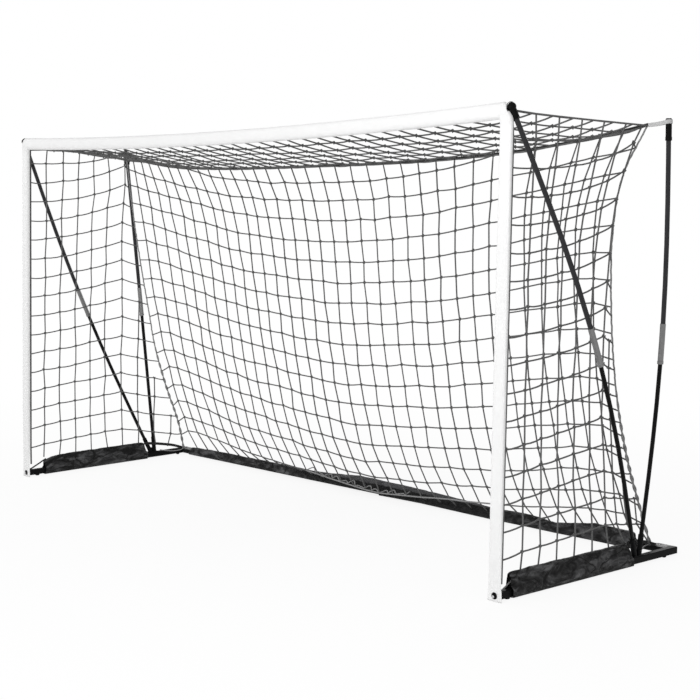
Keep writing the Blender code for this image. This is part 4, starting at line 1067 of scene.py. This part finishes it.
def side_sleeve(side, label):
    start = SIDE_SLEEVE_START[side]

    def along_bar(s, across, z):
        return at(side * (bar_x(s) + across), s, z)

    def height(s):
        """The left sleeve droops at its front end."""
        droop = 0.022 * math.exp(-(s - start) / 0.07) if side < 0 else 0.0
        return SIDE_SLEEVE_HEIGHT - droop

    ground_sleeve(f"base_cloth_{label}", (start, SIDE_SLEEVE_END), along_bar, 0.0250, height,
                  SIDE_SLEEVE_LEAN, (f"base_sleeve_{label}",), 180, 20.0 + side * 3,
                  FOOT_REACH if side > 0 else 0.0)


def roll_top(s):
    """The rear sleeve's height: in its middle the cloth is a low roll with a flap behind it."""
    full = read_off(SLEEVE_TOP, s)
    inside = min(1.0, max(0.0, min(s - FLAP_ENDS[0], FLAP_ENDS[1] - s) / 0.16))
    return full + (min(full, ROLL_HEIGHT) - full) * inside


def flap_surface(u, v):
    """u runs up the flap behind the roll, v along it."""
    x = FLAP_ENDS[0] + (FLAP_ENDS[1] - FLAP_ENDS[0]) * v
    z = FLAP_FOOT + (read_off(SLEEVE_TOP, x) + 0.003 * wrinkle(x, 0, 0.12, 41.0) - FLAP_FOOT) * u
    return at(x, REAR_BAR_DEPTH + 0.006 + 0.006 * wrinkle(x, z * 2, 0.07, 44.0) * u, z)


def rear_flap():
    size = (FLAP_WIDTH, FLAP_ENDS[1] - FLAP_ENDS[0])
    mesh = cloth_mesh("rear_flap", flap_surface, 8, 220, size)
    made = piece("rear_flap", mesh, cloth_grey, "frame", ("base_sleeve_rear",))
    thicken(made, THIN_NYLON)


for side, label in SIDES:
    side_sleeve(side, label)
ground_sleeve("base_cloth_rear", REAR_SLEEVE_ENDS, lambda s, across, z: at(s, REAR_BAR_DEPTH + across, z),
              0.027, roll_top, 0.0, ("base_sleeve_rear",), 620, 31.0,
              floor_line=lambda s: read_off(SLEEVE_FOOT, s))
rear_flap()

# ------------------------------------------------------------------ straps and ties
STRAP_HALF = 0.0090
STRAP_LENGTH = 0.23
STRAP_THICKNESS = 0.0015
CAP_GRIP = 0.0158             # radius at which the webbing goes round the rear pole's cap
POLE_CAP = (2.0555, 0.8723, 1.9705)
NET_EAR = (1.985, 0.8235, 1.9565)
ELBOW_BALL = (1.887, 0.045, 2.001)
ELBOW_LOOP_RADIUS = 0.0198
ELASTIC = 0.0013              # radius of the elbow's loop
FRONT_TIE = ((1.868, 0.130, 0.094), (1.868, 0.112, 0.086), (1.868, 0.074, 0.067), (1.868, 0.044, 0.053),
             (1.867, 0.022, 0.044), (1.866, 0.012, 0.038))
FRONT_TIE_RADIUS = {-1: 0.0046, 1: 0.0030}
REAR_TIE = ((1.843, 1.150, 0.047), (1.828, 1.128, 0.050), (1.818, 1.098, 0.044), (1.836, 1.050, 0.040),
            (1.858, 1.000, 0.046), (1.868, 0.972, 0.052))
REAR_TIE_RADIUS = 0.0030
BAND_LINE = ((1.889, 0.862, 0.104), (1.869, 0.905, 0.101), (1.862, 0.970, 0.092), (1.851, 1.060, 0.075),
             (1.846, 1.130, 0.053), (1.846, 1.150, 0.047))
BAND_HALF = 0.0085
BAND_LENGTH = 0.32
BAND_THICKNESS = 0.0014


def strap_outline(reach):
    """The webbing's loop seen from above: out from the net's corner, round the cap and back."""
    out = []
    for m in range(5):
        out.append((reach * m / 5.0 * 0.93, 0.0010 + (CAP_GRIP - 0.0010) * (m / 5.0) ** 2.2))
    turn = []
    for m in range(17):
        a = math.radians(112.0 - 224.0 * m / 16)
        turn.append((reach + CAP_GRIP * math.cos(a), CAP_GRIP * math.sin(a)))
    return out + turn + [(x, -y) for x, y in reversed(out)]


def corner_webbing(side, label):
    """Webbing from the net's top corner round the rear pole's cap."""
    cap, ear = (at(side * x, depth, z) for x, depth, z in (POLE_CAP, NET_EAR))
    toward = cap - ear
    level = math.atan2(toward.y, toward.x)
    reach = math.hypot(toward.x, toward.y)
    outline = strap_outline(reach)

    def surface(u, v):
        place = u * (len(outline) - 1)
        m = min(int(place), len(outline) - 2)
        f = place - m
        x = outline[m][0] * (1 - f) + outline[m + 1][0] * f
        y = outline[m][1] * (1 - f) + outline[m + 1][1] * f
        rise = toward.z * min(1.0, x / reach) - 0.002 * math.sin(math.pi * min(1.0, x / reach))
        half = STRAP_HALF * (0.92 + 0.08 * min(1.0, x / 0.02))
        return Vector((ear.x + x * math.cos(level) - y * math.sin(level),
                       ear.y + x * math.sin(level) + y * math.cos(level),
                       ear.z + rise + (2 * v - 1) * half))

    name = f"corner_webbing_{label}"
    mesh = cloth_mesh(name, surface, 64, 6, (STRAP_LENGTH, 2 * STRAP_HALF))
    made = piece(name, mesh, web_grey, None, (f"corner_strap_{label}",))
    thicken(made, STRAP_THICKNESS)
    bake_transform(made)


def elbow_loop(side, label):
    """Elastic loop from the crossbar's cloth over the elbow."""
    x, depth, z = ELBOW_BALL
    ball = at(side * x, depth, z)
    loop = []
    for m in range(25):
        a = math.radians(-70.0 + 320.0 * m / 24)
        loop.append(ball + Vector((side * (-0.0035 + 0.006 * math.cos(a)), ELBOW_LOOP_RADIUS * math.cos(a),
                                   ELBOW_LOOP_RADIUS * math.sin(a))))
    twine_piece(f"elbow_loop_{label}", [(loop, ELASTIC)], cord_dark, 8)


def front_tie(side, label):
    """Tie from the sleeve's front end to the foot of the upright; the right one hangs lower."""
    tie = [Vector(p) for p in FRONT_TIE]
    if side > 0:
        tie = [p + Vector((0.0, -0.010, -0.012)) for p in tie[:-1]] + [tie[-1]]
    route = resampled([at(side * p.x, p.y, p.z) for p in tie], 0.006)
    tie_piece(f"front_tie_{label}", route, FRONT_TIE_RADIUS[side], cord_dark if side < 0 else cord_pale)


def corner_band(side, label):
    """Band from the side sleeve to the plate at the rear corner."""
    line = smooth_curve(BAND_LINE)

    def surface(u, v):
        p = line(u)
        return at(side * p.x, p.y, p.z + (2 * v - 1) * BAND_HALF)

    name = f"corner_band_{label}"
    mesh = cloth_mesh(name, surface, 40, 4, (BAND_LENGTH, 2 * BAND_HALF))
    thicken(piece(name, mesh, web_black, "frame"), BAND_THICKNESS)


def rear_tie(side, label):
    """Cord from the net's corner round the pole socket."""
    line = smooth_curve(REAR_TIE)
    route = [at(side * p.x, p.y, p.z) for p in (line(t) for t in spread(0, 1, 24))]
    tie_piece(f"rear_tie_{label}", route, REAR_TIE_RADIUS, cord_pale)


for side, label in SIDES:
    corner_webbing(side, label)
    elbow_loop(side, label)
    front_tie(side, label)
    corner_band(side, label)
    rear_tie(side, label)

# ------------------------------------------------------------------ floor, light and world
FLOOR_HALF = 60.0
WORLD_LIGHT = 0.52
LAMP_TARGET = (0.0, 0.0, 0.8)
LAMPS = (("key", (3.4, -5.5, 4.0), 3.0, 205.0), ("fill", (-5.5, -3.5, 3.5), 4.0, 100.0),
         ("rear", (-2.5, 6.0, 3.6), 4.0, 110.0))


def floor_finish():
    """White to the camera and in reflections, but with the object's shadow close to it."""
    ground = Finish("floor", (0.92, 0.92, 0.92), 0.9)
    away = ground.node("ShaderNodeVectorMath", {"operation": "LENGTH"}, {0: ground.place()}, 1)
    rays = sum(ground.node("ShaderNodeLightPath", {}, {}, ray)
               for ray in ("Is Camera Ray", "Is Glossy Ray", "Is Transmission Ray"))
    glow = ground.node("ShaderNodeEmission", {}, {"Color": (1.0, 1.0, 1.0, 1.0), "Strength": 1.0})
    share = (0.92 + (away - 2.6) * 0.03).kept() * rays
    plain = Value(ground, ground.shader.outputs[0])
    both = ground.node("ShaderNodeMixShader", {}, {0: share, 1: plain, 2: glow})
    ground.tree.links.new(both.socket, ground.tree.nodes["Material Output"].inputs[0])
    return ground.material


def lay_floor():
    bm = bmesh.new()
    bmesh.ops.create_grid(bm, x_segments=1, y_segments=1, size=FLOOR_HALF)
    mesh = bpy.data.meshes.new("floor")
    bm.to_mesh(mesh)
    bm.free()
    mesh.materials.append(floor_finish())
    floor = bpy.data.objects.new("floor", mesh)
    bpy.context.scene.collection.objects.link(floor)


def light_world():
    """A plain white sky, at full strength only where the camera sees it."""
    world = bpy.data.worlds.new("studio")
    world.use_nodes = True
    bpy.context.scene.world = world
    tree = world.node_tree
    sky = tree.nodes["Background"]
    sky.inputs["Color"].default_value = (1.0, 1.0, 1.0, 1.0)
    path = tree.nodes.new("ShaderNodeLightPath")
    seen = tree.nodes.new("ShaderNodeMath")
    seen.operation = "MAXIMUM"
    tree.links.new(path.outputs["Is Camera Ray"], seen.inputs[0])
    tree.links.new(path.outputs["Is Transmission Ray"], seen.inputs[1])
    level = tree.nodes.new("ShaderNodeMapRange")
    level.inputs["To Min"].default_value = WORLD_LIGHT
    level.inputs["To Max"].default_value = 1.0
    tree.links.new(seen.outputs[0], level.inputs["Value"])
    tree.links.new(level.outputs[0], sky.inputs["Strength"])


def lamp(name, place, size, power):
    """Round area lamp, turned to the middle of the goal."""
    data = bpy.data.lights.new(name, "AREA")
    data.shape = "DISK"
    data.size = size
    data.energy = power
    made = bpy.data.objects.new(name, data)
    bpy.context.scene.collection.objects.link(made)
    made.location = place
    made.rotation_euler = (Vector(LAMP_TARGET) - Vector(place)).to_track_quat("-Z", "Y").to_euler()


lay_floor()
light_world()
for name, place, size, power in LAMPS:
    lamp(name, place, size, power)

bpy.context.scene.view_settings.view_transform = "Standard"
